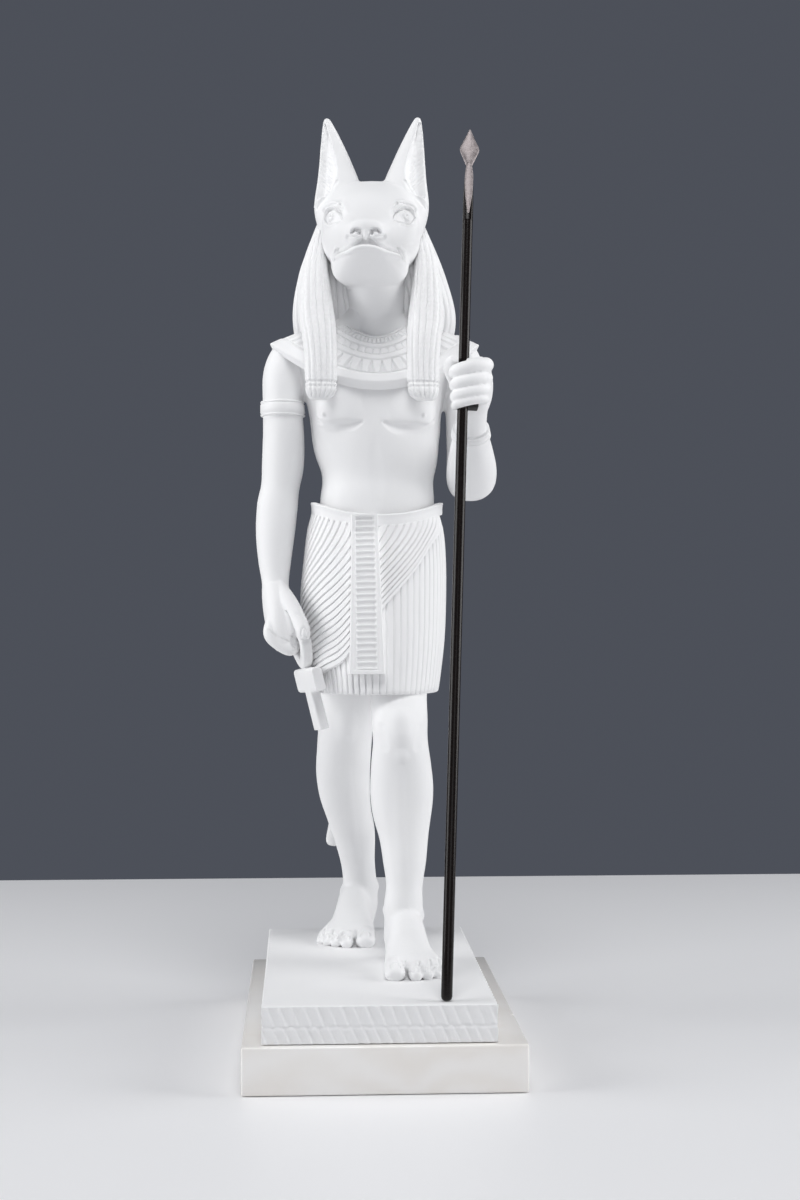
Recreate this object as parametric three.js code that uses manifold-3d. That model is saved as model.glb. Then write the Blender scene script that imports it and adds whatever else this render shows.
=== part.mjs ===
// A striding Anubis cast in white marble powder on its plinth, set on an onyx block,
// with a black metal spear through the left fist. Millimetres, +Z up. The origin is the
// centre of the block's underside, and the figure faces -Y, so its own right is -X.
import * as THREE from 'three';
import { mergeVertices } from 'three/addons/utils/BufferGeometryUtils.js';
import Module from 'manifold-3d';

const wasm = await Module();
wasm.setup();

// Driving dimensions
const GAP = 0.3;                   // between pieces that rest on or in each other
const BLOCK = { width: 109, depth: 168, height: 18.4, chamfer: 1.2 };
const PLINTH = { width: 90, depth: 163, top: 33.2, offset: -2, tooth: 4.9, bite: 0.9 };
const HEM = 146.2;                 // height of the kilt's lower edge
const BELT = { height: 5.4, proud: 1.3, front: 218, side: 224, back: 226 };
const PLEAT = { count: 40, depth: 0.5, wrapCount: 15, wrapProud: 1.4 };
const WRAP = { start: -19, end: -215 };   // degrees round the body, from its left side
const APRON = { top: 10.6, foot: 14.6, thick: 2.6, strokes: 13 };
const COLLAR = { beads: 26, bead: 0.5 };
const LOCK = { count: 4, depth: 0.7 };
const HEAD = { x: -1.6, y: 20, z: 346, pitch: 8, yaw: -4 };
const ROD = { radius: 2.2, foot: [23.6, -76.4], tip: [39.7, 0, 386.6] };
const SPEARHEAD = { length: 17, width: 16.5, thick: 1.6, neck: 1.3 };
const SLEEVE = { width: 5.2, height: 5.5 };
const ANKH = { thick: 4.8, stem: 15.5, bar: 26, barHeight: 10.5, loop: 27, strap: 5 };

const rad = THREE.MathUtils.degToRad;
const v = (x, y, z) => new THREE.Vector3(x, y, z);
const UP = v(0, 0, 1);
const SIDE = v(1, 0, 0);
const AHEAD = v(0, -1, 0);

// Solids

function solid(geometry) {
  geometry.deleteAttribute('normal');
  geometry.deleteAttribute('uv');
  const merged = mergeVertices(geometry, 1e-4);
  const vertProperties = new Float32Array(merged.getAttribute('position').array);
  const triVerts = new Uint32Array(merged.getIndex().array);
  return new wasm.Manifold(new wasm.Mesh({ numProp: 3, vertProperties, triVerts }));
}

function fuse(parts) {
  return parts.reduce((whole, part) => whole.add(part));
}

const middle = (ring) => ring.reduce((sum, p) => sum.add(p), v(0, 0, 0)).divideScalar(ring.length);

// A closed skin over a row of rings of points, which turn left about the way they go
function skin(rings) {
  const sides = rings[0].length;
  const shape = new THREE.SphereGeometry(1, sides, rings.length + 1);
  const place = shape.getAttribute('position');
  const put = (row, col, p) => place.setXYZ(row * (sides + 1) + col, p.x, p.y, p.z);
  const first = middle(rings[0]);
  const last = middle(rings.at(-1));
  for (let col = 0; col <= sides; col++) {
    put(0, col, last);
    rings.forEach((ring, i) => put(rings.length - i, col, ring[col % sides]));
    put(rings.length + 1, col, first);
  }
  return solid(shape);
}

// Rows of numbers joined by a smooth curve, with some steps from each row to the next
function smoothRows(rows, steps) {
  const end = rows.length - 1;
  const blend = (t, a, b, c, d) =>
    b + 0.5 * t * (c - a + t * (2 * a - 5 * b + 4 * c - d + t * (3 * (b - c) + d - a)));
  const between = rows.slice(0, -1).flatMap((row, i) => {
    const before = rows[Math.max(i - 1, 0)];
    const next = rows[i + 1];
    const after = rows[Math.min(i + 2, end)];
    return Array.from({ length: steps }, (_, k) =>
      row.map((b, n) => blend(k / steps, before[n], b, next[n], after[n])));
  });
  return [...between, rows[end]];
}

// The numbers of a table's first column value, read off a smooth curve through its rows
function rowAt(table, key) {
  const i = Math.max(table.slice(0, -1).findLastIndex((row) => row[0] <= key), 0);
  const t = THREE.MathUtils.clamp((key - table[i][0]) / (table[i + 1][0] - table[i][0]), 0, 1);
  return table[i].map((a, n) => THREE.MathUtils.lerp(a, table[i + 1][n], t));
}

const rounded = (value, power) => Math.sign(value) * Math.abs(value) ** (2 / power);

// A point of an oval about a centre: half width, depth in front, depth behind, squareness
function onOval(angle, halfWidth, front, back, power = 2) {
  const s = Math.sin(angle);
  return [halfWidth * rounded(Math.cos(angle), power), (s < 0 ? front : back) * rounded(s, power)];
}

const turns = (count) => Array.from({ length: count }, (_, i) => (2 * Math.PI * i) / count);

// A limb through stations [x, y, z, half width, front, back, squareness], going upwards
function limb(stations, sides = 10, steps = 1, side = SIDE) {
  const whole = stations.map(([x, y, z, halfWidth, front, back = front, power = 2]) =>
    [x, y, z, halfWidth, front, back, power]);
  const rows = smoothRows(whole, steps);
  const centre = rows.map(([x, y, z]) => v(x, y, z));
  const rings = rows.map(([, , , halfWidth, front, back, power], i) => {
    const along = centre[Math.min(i + 1, rows.length - 1)].clone().sub(centre[Math.max(i - 1, 0)]);
    along.normalize();
    const across = side.clone().addScaledVector(along, -side.dot(along)).normalize();
    const behind = along.clone().cross(across);
    return turns(sides).map((angle) => {
      const [p, q] = onOval(angle, halfWidth, front, back, power);
      return centre[i].clone().addScaledVector(across, p).addScaledVector(behind, q);
    });
  });
  return skin(rings);
}

const ball = (x, y, z, rx, ry, rz, sides = 10, rows = 6) =>
  solid(new THREE.SphereGeometry(1, sides, rows).rotateX(Math.PI / 2).scale(rx, ry, rz).translate(x, y, z));

const box = (width, depth, height) => new THREE.BoxGeometry(width, depth, height);

// The body's own outlines, each row: height, centre x, centre y, half width, front, back

const TORSO = [
  [205, 0.6, 27, 24, 14, 17],
  [222, 0.8, 27.5, 24.8, 16.6, 18],
  [231, 1.4, 28, 25, 17.5, 18],
  [239.4, 1.6, 28, 24.4, 16.8, 16.5],
  [248, 1.6, 28, 26.4, 17.6, 17],
  [257, 0.9, 28, 28, 18.6, 18.4],
  [266, 0.6, 28, 28.8, 20, 19.5],
  [275, 0.4, 28, 30.5, 21, 20.5],
  [284, 0.2, 28, 33, 20, 20.5],
  [292, 0.2, 28, 36, 17, 19],
  [299, 0.2, 28, 36, 12.5, 15.5],
  [305, 0.3, 27.5, 26, 10.5, 12.5],
  [311, 0.4, 26.5, 15, 10.5, 11.5],
  [318, 0.5, 25, 11.4, 11, 11.5],
  [334, 0.3, 22, 11.4, 11, 11.5],
];

const KILT = [
  [HEM, 0.7, 25, 26.7, 32, 33],
  [152, 0.8, 25, 27.6, 31.5, 32.5],
  [169, 0.6, 25.5, 29.8, 30, 30],
  [187, 0.4, 26, 30.8, 27, 28],
  [204, 1.1, 26.5, 30.1, 23.5, 25.5],
  [217, 1.4, 27, 28.8, 20, 21],
  [226, 1.2, 27.5, 26.6, 18.8, 18.4],
];

function bodyPoint(table, angle, height, proud = 0, power = 2.1) {
  const [, x, y, halfWidth, front, back] = rowAt(table, height);
  const [p, q] = onOval(angle, halfWidth + proud, front + proud, back + proud, power);
  return v(x + p, y + q, height);
}

function torso() {
  const stations = TORSO.map(([z, x, y, halfWidth, front, back]) => [x, y, z, halfWidth, front, back, 2.1]);
  const chest = [-1, 1].map((s) => ball(0.8 + s * 13, 14.8, 275.6, 15.2, 6.4, 13, 10, 6));
  return fuse([limb(stations, 16), ...chest]);
}

// Kilt: upright pleats all round, and over them the wrap with its slanting pleats

// The wrap's lower edge: degrees round the body, and height
const WRAP_EDGE = [
  [-215, 147.5], [-180, 150], [-138, 156.5], [-115, 163], [-84, 185], [-61, 199.5], [-44, 210], [-19, 219],
];

// A pleat leaves the belt at its own angle and sinks towards the edge. The share t goes
// from the lowest pleat to the highest, and s along a pleat from the belt down.
function wrapPlace(s, t) {
  const start = rad(WRAP.start);
  const from = THREE.MathUtils.lerp(start, rad(WRAP.end), t);
  const angle = THREE.MathUtils.lerp(from, rad(WRAP.end), s);
  const top = beltLine(angle) + 1.5;
  const low = rowAt(WRAP_EDGE, THREE.MathUtils.radToDeg(angle))[1];
  const share = angle < start ? (from - angle) / (start - angle) : 0;
  return { angle, height: THREE.MathUtils.lerp(top, low, share ** 0.85) };
}

function wrap() {
  const along = 7;
  const widest = 0.96;
  const point = (s, t, proud) => {
    const { angle, height } = wrapPlace(s, widest * t);
    return bodyPoint(KILT, angle, height, proud);
  };
  const count = PLEAT.wrapCount * 2;
  const rings = Array.from({ length: along + 1 }, (_, i) => {
    const s = i / along;
    const outer = Array.from({ length: count + 1 }, (_, k) =>
      point(s, k / count, PLEAT.wrapProud + (k % 2 ? -PLEAT.depth : PLEAT.depth)));
    const inner = Array.from({ length: 4 }, (_, k) => point(s, 1 - k / 3, -8));
    return [...outer, ...inner];
  });
  return skin(rings);
}

// Under the wrap the kilt is plain and lies a little deeper
function underWrap(angle, height) {
  const turned = angle > rad(WRAP.start) + 0.01 ? angle - 2 * Math.PI : angle;
  const s = (turned - rad(WRAP.start)) / (rad(WRAP.end) - rad(WRAP.start));
  return s > 0 && s < 1 && height > rowAt(WRAP_EDGE, THREE.MathUtils.radToDeg(turned))[1] + 6;
}

function kilt() {
  const heights = [HEM, 172, 200, 224];
  const rings = heights.map((height, row) => turns(PLEAT.count * 2).map((angle, i) => {
    const pleat = i % 2 ? -PLEAT.depth : PLEAT.depth;
    const z = row === heights.length - 1 ? beltLine(angle) + 2.5 : height;
    return bodyPoint(KILT, angle, z, underWrap(angle, height) ? -2.4 : pleat);
  }));
  return skin(rings);
}

function beltLine(angle) {
  const s = Math.sin(angle);
  const end = s < 0 ? BELT.front : BELT.back;
  return THREE.MathUtils.lerp(BELT.side, end, s * s);
}

function belt() {
  const lifts = [[0, 0], [0, 1], [BELT.height, 1], [BELT.height, 0]];
  const rings = lifts.map(([lift, out]) => turns(24).map((angle) => {
    const p = bodyPoint(KILT, angle, beltLine(angle) + 2, out ? BELT.proud : -3);
    return p.setZ(beltLine(angle) + lift);
  }));
  return skin(rings);
}

// The apron hangs from the belt: a raised frame with short strokes between its edges
function apron() {
  const top = BELT.front + BELT.height + 0.3;
  const foot = 155.6;
  const rows = APRON.strokes * 2 + 1;
  const rings = Array.from({ length: rows + 1 }, (_, i) => {
    const t = i / rows;
    const height = THREE.MathUtils.lerp(foot, top, t);
    const half = THREE.MathUtils.lerp(APRON.foot, APRON.top, t ** 0.8) / 2;
    const x = -4.4;
    const back = bodyPoint(KILT, -Math.PI / 2, Math.min(height, 217)).y;
    const face = back - APRON.thick;
    const cut = i % 2 && i > 1 && i < rows - 1 ? 0.55 : 0;
    const rim = 1.6;
    const frontX = [-half, -half + rim, half - rim, half];
    const inset = [0, 0.3 + cut, 0.3 + cut, 0];
    const front = frontX.map((dx, k) => v(x + dx, face + inset[k], height));
    return [...front, v(x + half, back + 5, height), v(x - half, back + 5, height)];
  });
  return skin(rings);
}

function tail() {
  return limb([
    [-18, 72, 73, 1.8, 1.6], [-17.4, 72.4, 76, 3.2, 2.6], [-15.4, 71.6, 88, 2.8, 2.6], [-11, 67, 108, 2.5, 2.4],
    [-5.4, 57.4, 130, 2.4, 2.3], [-1.6, 53.4, 146, 2.4, 2.2], [0, 50, 156, 2, 2],
  ], 7);
}

// Legs and feet: stations [x, y, z, half width, front, back]

const LEFT_LEG = [
  [10.9, 1, 42, 8, 9, 6.4], [11.2, -1, 51, 8.2, 8.6, 7.4], [11.2, -2.6, 58, 8.3, 7.8, 8.6],
  [11.6, -2.4, 66, 7.8, 6.4, 9], [11.8, -0.6, 76, 9.2, 7, 11.4], [11.6, 1.4, 86, 10.5, 7.8, 14.2],
  [10.9, 2.6, 97, 12.8, 8.6, 17], [10.8, 2.8, 107, 13.5, 9.2, 17.8], [10.4, 2.2, 118, 12.7, 10.2, 16],
  [10.1, 1.4, 127, 11.7, 11.6, 14.4], [9.8, 2, 136, 12, 11.2, 15], [9.8, 9, 147, 12.2, 9.2, 15],
  [10.5, 12, 162, 13, 10, 14],
];

const RIGHT_LEG = [
  [-6.2, 71, 40, 8.2, 9, 5.6], [-5.2, 68, 48, 8.6, 8, 7], [-5, 66, 55, 7.9, 7, 8.8],
  [-6, 63, 66, 7.8, 6.6, 9.2], [-7.9, 58.5, 80, 9.6, 7.6, 13], [-10.4, 54, 90, 10.3, 8.4, 16],
  [-12.4, 50, 100, 11.6, 9, 17.8], [-13.2, 47, 110, 12.2, 9.4, 17.4], [-12.8, 44, 120, 12.2, 10.4, 15.4],
  [-12.3, 42, 129, 12.2, 11.6, 14], [-11.8, 40.5, 139, 12.2, 12, 15],
  [-10.8, 34, 164, 12, 12, 13],
];

// A foot on the plinth: ankle place, heading in degrees, and the side of the big toe
function foot(x, heel, heading, inner) {
  const place = (across, ahead, height) => {
    const turn = rad(heading);
    return [x + across * Math.cos(turn) + ahead * Math.sin(turn),
      heel - ahead * Math.cos(turn) + across * Math.sin(turn), PLINTH.top + height];
  };
  const sole = -1.2;
  const station = (ahead, across, half, top) =>
    [...place(across * inner, ahead, sole + (top - sole) / 2), half, (top - sole) / 2, (top - sole) / 2, 2.6];
  const body = limb([
    station(1, 0, 4.5, 7), station(4, 0, 7.4, 13), station(10, 0, 8, 17), station(18, 0.2, 8.2, 16.5),
    station(26, 0, 9.4, 12), station(34, -0.4, 11.2, 8), station(41, -0.6, 10.6, 4.6),
  ], 8);
  const toes = [[8, 48.5, 3.7, 3.2], [2.6, 49, 2.6, 2.6], [-2, 47.4, 2.4, 2.3], [-6.2, 45, 2.3, 2.2], [-10, 42, 2.2, 2]];
  const toeShapes = toes.map(([across, tip, radius, high]) => {
    const point = (ahead, height) => place(across * inner, ahead, height);
    return limb([
      [...point(tip - 11, high + 1.1), radius * 0.84, high * 0.84],
      [...point(tip - 3.6, high - 0.5), radius, high],
      [...point(tip - 0.6, high - 0.9), radius * 0.6, high * 0.6],
    ], 5);
  });
  return fuse([body, ...toeShapes]);
}

// Arms and hands

const RIGHT_ARM = [
  [-43, 20, 186, 6.2, 8, 7.4], [-43.2, 22.4, 194, 5.9, 6.2, 6.2], [-43.5, 25, 204, 7.3, 7.2, 7.2],
  [-43.3, 27.4, 216, 8.6, 8.4, 8.6], [-42.4, 29.4, 228, 9, 9, 9], [-41.2, 30.4, 236, 8.5, 9, 9],
  [-39.9, 29.8, 250, 9.3, 10, 9.6], [-40, 29.2, 268, 8.8, 10.9, 10.4],
  [-40.2, 28.4, 286, 8.4, 11, 11], [-37.8, 28, 296, 6, 8, 8.4], [-34, 28, 301, 2.4, 3.4, 3.4],
];

const LEFT_UPPER_ARM = [
  [43, 27, 231, 4, 4, 4], [42.6, 27.4, 234, 8.4, 7.4, 7], [42, 28, 240, 10.2, 9, 9], [41, 28.6, 252, 9, 9.8, 9.4],
  [40.4, 28.8, 265, 8.8, 10.6, 10], [40.4, 28.6, 277, 8.8, 11, 10.6], [40.4, 28.4, 287, 8.4, 11, 11],
  [38, 28, 297, 6, 8, 8.4], [34, 28, 302, 2.4, 3.4, 3.4],
];

const LEFT_FOREARM = [
  [42.6, 29, 234, 7, 5, 5], [42.4, 24, 237.5, 10.4, 8, 8.6], [41.8, 15.5, 243.5, 10.9, 8.6, 9],
  [40.6, 5, 252, 9, 7.6, 7.8], [39.8, -3, 258.6, 7, 6, 6.4], [39.6, -9, 264, 6.5, 5.4, 6.2],
  [39, -14.5, 269.5, 7.6, 6.6, 7],
];

function finger(points, radius, side = SIDE) {
  return limb(points.map(([x, y, z, fat = 1]) => [x, y, z, radius * fat, radius * fat]), 6, 1, side);
}

// The left fist: four fingers from the outer knuckles across the front of the rod
function leftFist() {
  const palm = limb([
    [40, -13, 268, 6.4, 6, 6.4], [40.4, -17, 272, 7, 6.6, 7], [40.2, -19.5, 277, 7.2, 7, 7.2],
    [39.4, -20, 282.6, 6.6, 6.6, 6.6], [38.8, -20, 286.6, 4.4, 4.6, 4.6],
  ], 8);
  const fingers = [[0, 283.2, 2.9], [1, 277.8, 2.8], [2, 273, 2.6], [3, 269.4, 2.1]].map(([n, z, radius]) => finger([
    [44.8 - 0.3 * n, -17.5, z + 0.5, 0.94], [43.6 - 0.2 * n, -26.6, z + 0.1, 1.04],
    [37.5, -30 + 0.3 * n, z - 1, 0.96], [31.4, -27.6, z - 2.6, 0.92], [30.4 + 0.5 * n, -22.6, z - 3.5, 0.6],
  ], radius, UP));
  const thumb = finger([
    [38, -12, 272, 1], [33.5, -13.5, 277, 1.12], [30.4, -17.6, 281.6, 1.06], [29.9, -21.4, 284.4, 0.96],
    [31, -25, 286, 0.6],
  ], 2.9, AHEAD);
  return fuse([palm, ...fingers, thumb]);
}

// The right hand hangs, its fingers curled round the ankh's loop and the thumb in front
function rightHand() {
  const palm = limb([
    [-43.2, 17.5, 165.4, 3.2, 8, 8], [-42.8, 17.4, 169, 4.6, 10, 9.4], [-42.4, 17.6, 176, 6, 10.6, 9.8],
    [-42.6, 18.6, 184, 6.6, 9.4, 9], [-43.2, 21.6, 192, 5.9, 6.6, 6.6],
  ], 8);
  const fingers = [0, 1, 2, 3].map((n) => {
    const y = 10 + 4.9 * n;
    return finger([
      [-45, y, 168.4, 0.9], [-41, y, 164 + 0.3 * n, 1], [-35.4, y, 163.8 + 0.3 * n, 0.96],
      [-33.4, y, 168, 0.9], [-35.6, y, 172.6, 0.6],
    ], 2.7 - 0.1 * n, AHEAD);
  });
  const thumb = finger([
    [-40.6, 15, 189, 1.2], [-36.4, 11.4, 184.6, 1.14], [-32.8, 9, 179.4, 1.02], [-30, 7.8, 174, 1.06],
    [-29, 7.4, 170.4, 0.9], [-28.8, 7.4, 168.6, 0.5],
  ], 3);
  return fuse([palm, ...fingers, thumb]);
}

function armBand(stations, from, to, proud) {
  const inside = smoothRows(stations, 4).filter(([, , z]) => z > from && z < to);
  return limb(inside.map(([x, y, z, halfWidth, front, back]) =>
    [x, y, z, halfWidth + proud, front + proud, back + proud]), 12);
}

function bracelet() {
  const ends = [[40, -1.2, 257.6], [39.7, -5, 260.8]];
  return limb(ends.map(([x, y, z]) => [x, y, z, 7.6, 6.8, 7]), 14);
}

// The ankh: its loop passes through the right hand, and its plane runs almost fore and aft
function ankh() {
  const outline = new THREE.Shape();
  const barTop = ANKH.barHeight / 2;
  const halfStem = 4.4;
  outline.moveTo(-halfStem - 0.6, -barTop - ANKH.stem);
  outline.lineTo(halfStem + 0.6, -barTop - ANKH.stem);
  outline.lineTo(halfStem, -barTop);
  outline.lineTo(ANKH.bar / 2, -barTop);
  outline.lineTo(ANKH.bar / 2, barTop);
  outline.lineTo(3.6, barTop);
  outline.bezierCurveTo(12, barTop + 10, 13, barTop + ANKH.loop, 0, barTop + ANKH.loop);
  outline.bezierCurveTo(-13, barTop + ANKH.loop, -12, barTop + 10, -3.6, barTop);
  outline.lineTo(-ANKH.bar / 2, barTop);
  outline.lineTo(-ANKH.bar / 2, -barTop);
  outline.lineTo(-halfStem, -barTop);
  outline.closePath();
  const eye = new THREE.Path();
  const inner = barTop + 2.4;
  const innerTop = barTop + ANKH.loop - ANKH.strap;
  eye.moveTo(0, inner);
  eye.bezierCurveTo(-6.6, inner + 6, -8, innerTop, 0, innerTop);
  eye.bezierCurveTo(8, innerTop, 6.6, inner + 6, 0, inner);
  outline.holes.push(eye);
  const slab = new THREE.ExtrudeGeometry(outline, { depth: ANKH.thick, bevelEnabled: false, curveSegments: 5 });
  slab.translate(0, 0, -ANKH.thick / 2);
  slab.rotateX(Math.PI / 2);
  slab.rotateZ(rad(90 + 16));
  slab.rotateY(rad(-14));
  slab.translate(-28.4, 12, 152.4);
  return solid(slab);
}

// Broad collar: rows of beads over chest, shoulders and back, each row a step of one skin

function collar() {
  const neck = { halfWidth: 13.6, front: 11, back: 12, z: 307, dip: 11 };
  const rim = { halfWidth: 45.4, front: 22.4, back: 22 };
  const rimHeight = (angle) => 278.6 + 19 * Math.cos(angle) ** 2 + (Math.sin(angle) > 0 ? 8 * Math.sin(angle) ** 2 : 0);
  const point = (angle, t, proud) => {
    const halfWidth = THREE.MathUtils.lerp(neck.halfWidth, rim.halfWidth, t);
    const front = THREE.MathUtils.lerp(neck.front, rim.front, t ** 0.8);
    const back = THREE.MathUtils.lerp(neck.back, rim.back, t ** 0.8);
    const [p, q] = onOval(angle, halfWidth + proud, front + proud, back + proud, 2);
    const arch = 1.5 * Math.sin(Math.PI * t) * Math.abs(Math.cos(angle));
    const throat = neck.z - (Math.sin(angle) < 0 ? neck.dip * Math.sin(angle) ** 2 : 0);
    const drop = THREE.MathUtils.lerp(throat, rimHeight(angle), t);
    return v(0.3 + p, 28 + q - 3 * (1 - t), drop + arch + proud);
  };
  const rows = [[1, -3.5, 0], [1, 1.2, 0], [0.8, 1.2, 0], [0.74, 0.7, 1], [0.42, 1.1, 0], [0.3, 0.8, 1],
    [0, 1.4, 0]];
  const rings = rows.map(([t, proud, beaded]) => turns(COLLAR.beads).map((angle, i) =>
    point(angle, t, proud + (beaded && i % 2 ? COLLAR.bead : 0))));
  return skin(rings);
}

// Wig: a fluted mass behind, and a fluted front section on each side that ends in a lappet

const WIG_BACK = [
  [288, 0.4, 40, 27, 6, 9.5], [298, 0.4, 39, 32.4, 10, 11.8], [312, 0.4, 36, 34.8, 14, 15.4],
  [328, -0.6, 33, 32.4, 13, 17.6], [344, -1.2, 30.4, 26.8, 8, 18], [358, -1.6, 29.8, 20, 6.8, 15],
  [368, -1.6, 29, 8, 4, 7],
];

function wigBack() {
  const count = 24;
  const rings = WIG_BACK.map(([z, x, y, halfWidth, front, back], n) => turns(count).map((angle, i) => {
    const cut = n < WIG_BACK.length - 2 && i % 2 ? -LOCK.depth : 0;
    const [p, q] = onOval(angle, halfWidth + cut, front + cut, back + cut, 2.2);
    return v(x + p, y + q, z);
  }));
  return skin(rings);
}

// Rows: height, inner edge x, outer edge x, front y at the middle, half bulge, thickness
const LEFT_LAPPET = [
  [271.9, 22.4, 27.2, 3.2, 0.6, 4.4], [274, 19, 29.2, 1.6, 1.4, 7], [278, 17, 30.2, 1, 1.8, 9],
  [290, 16.7, 30.4, 2.2, 2, 11], [301, 16.7, 34, 4.6, 2.4, 13], [308, 17.4, 36.4, 7.2, 3, 15],
  [322, 19.4, 34.6, 11.6, 3.4, 15], [338, 21.4, 30.4, 16.6, 3, 14], [354, 20, 23.6, 23, 1.6, 8],
];

function frontLocks(side, shift) {
  const count = LOCK.count * 2;
  const rings = LEFT_LAPPET.map(([z, inner, outer, y, bulge, thick]) => {
    const lerpX = (t) => side * THREE.MathUtils.lerp(inner, outer, t) + shift;
    const front = Array.from({ length: count + 1 }, (_, i) => {
      const t = i / count;
      const round = bulge * (1 - (2 * t - 1) ** 2) - (i % 2 ? LOCK.depth * 0.7 : 0);
      return v(lerpX(t), y + 2 * bulge - 2 * round + 3 * t ** 2, z);
    });
    const rear = [v(lerpX(1), y + thick, z), v(lerpX(0), y + thick, z)];
    return side > 0 ? [...front, ...rear] : [...front, ...rear].reverse();
  });
  return skin(rings);
}

// Head, modelled level and facing -Y about its own centre, then tilted and turned

const MUZZLE = [
  // y, centre z, half width, up, down, squareness
  [-39, -12, 3.4, 3, 4, 2.4], [-37.6, -12, 6.4, 5, 6.6, 2.6], [-33, -12, 9.6, 7.4, 8.6, 2.7],
  [-26, -10.6, 12.8, 11.4, 11.2, 2.6], [-19, -8, 16, 16.6, 15, 2.5], [-12, -4, 19.6, 21.4, 20.6, 2.3],
  [-4, -2, 21.2, 24.6, 23, 2.3], [4, -1, 20.8, 24.6, 22, 2.3], [13, 0, 18.4, 22, 18, 2.1],
  [24, 2, 9, 10, 9, 2],
];

function skull() {
  const rings = MUZZLE.map(([y, z, halfWidth, up, down, power]) => turns(14).map((angle) => {
    const [p, q] = onOval(angle, halfWidth, down, up, power);
    return v(p, y, z + q);
  }));
  return skin(rings.map((ring) => ring.slice().reverse()));
}

// An ear is a tall cone, scooped on its outer front and pointed
function ear(side) {
  const outer = limb([
    [side * 15.6, 7, 2, 6.5, 7, 9, 2.2], [side * 16.4, 6.4, 10, 8.4, 8, 10, 2.2], [side * 15.2, 5, 20, 8.8, 7.6, 9, 2.2],
    [side * 16.2, 3.6, 31, 7.2, 6, 7], [side * 18, 2.2, 42, 4.5, 4, 4.6], [side * 20.2, 1, 53, 0.9, 1, 1],
  ], 8);
  const scoop = limb([
    [side * 24.8, -1, 8, 3.4, 3.4], [side * 24.6, -1.4, 14, 5.6, 5], [side * 24, -1.2, 29, 5, 4],
    [side * 22.6, -0.4, 46, 0.8, 1],
  ], 6);
  return outer.subtract(scoop);
}

function eye(side) {
  return limb([
    [side * 13.6, -20.4, 0.6, 0.8, 1], [side * 15.8, -16.6, 2.6, 4.2, 2.2], [side * 17.6, -13, 2.8, 4.4, 2.4],
    [side * 19.6, -8.6, 1.6, 1, 1],
  ], 6, 1, UP);
}

function nose() {
  const pad = ball(0, -36.6, -9, 5.6, 3.4, 3.6, 8, 4);
  const nostrils = [-1, 1].map((s) => ball(s * 3.6, -39.6, -10.2, 1.5, 2.2, 1.3, 5, 3));
  return { pad, nostrils: fuse(nostrils) };
}

function head() {
  const { pad, nostrils } = nose();
  const face = fuse([skull(), ear(-1), ear(1), eye(-1), eye(1), pad]).subtract(nostrils);
  return face.rotate(-HEAD.pitch, 0, 0).rotate(0, 0, HEAD.yaw).translate(HEAD.x, HEAD.y, HEAD.z);
}

// Plinth, with two rows of slanting notches chiselled across its front

function plinth() {
  const bottom = BLOCK.height + GAP;
  const front = -PLINTH.depth / 2 - 0.5;
  const left = PLINTH.offset - PLINTH.width / 2;
  const teeth = Math.floor(PLINTH.width / PLINTH.tooth);
  const split = (bottom + PLINTH.top) / 2 - 0.6;
  const rows = [[bottom, 0.4, 0], [split, 0.2, 1.2], [split + 0.6, 0, 0], [PLINTH.top, -0.3, 1.2]];
  const rings = rows.map(([z, out, slide]) => {
    const edge = Array.from({ length: teeth * 2 + 1 }, (_, i) => {
      const inner = i > 0 && i < teeth * 2;
      const x = left + (i * PLINTH.width) / (teeth * 2) - (inner ? slide : 0);
      return v(x, front - out + (i % 2 ? PLINTH.bite : 0), z);
    });
    return [...edge, v(left + PLINTH.width + out, front + PLINTH.depth, z), v(left - out, front + PLINTH.depth, z)];
  });
  return skin(rings);
}

// The rod leans back from the plinth, through the fist, up beside the head

const rodFoot = v(ROD.foot[0], ROD.foot[1], PLINTH.top + GAP);
const rodTip = v(...ROD.tip);
const rodWay = rodTip.clone().sub(rodFoot).normalize();
const rodLength = rodFoot.distanceTo(rodTip) - SPEARHEAD.length;

// Turns a shape made along +Z so that it stands along the rod, and moves it up the rod
function alongRod(geometry, distance) {
  const turn = new THREE.Quaternion().setFromUnitVectors(UP, rodWay);
  const place = rodFoot.clone().addScaledVector(rodWay, distance);
  return geometry.applyQuaternion(turn).translate(place.x, place.y, place.z);
}

const rodHeightDistance = (z) => (z - rodFoot.z) / rodWay.z;

// A round shape about +Z from rows of radius and height
function turned(rows, sides = 12) {
  return new THREE.LatheGeometry(rows.map(([r, h]) => new THREE.Vector2(r, h)), sides).rotateX(Math.PI / 2);
}

function rodBore() {
  const radius = ROD.radius + GAP;
  return solid(alongRod(turned([[0, 0], [radius, 0], [radius, 70], [0, 70]]), rodHeightDistance(245)));
}

function sleeveGeometry(grow) {
  const size = SLEEVE.width + 2 * grow;
  const block = box(size, size, SLEEVE.height + 2 * grow);
  block.translate(SLEEVE.width / 2 + 1.4, 1, 0);
  return alongRod(block, rodHeightDistance(268.8));
}

function sleeve() {
  return solid(sleeveGeometry(0)).subtract(rodBore());
}

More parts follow.
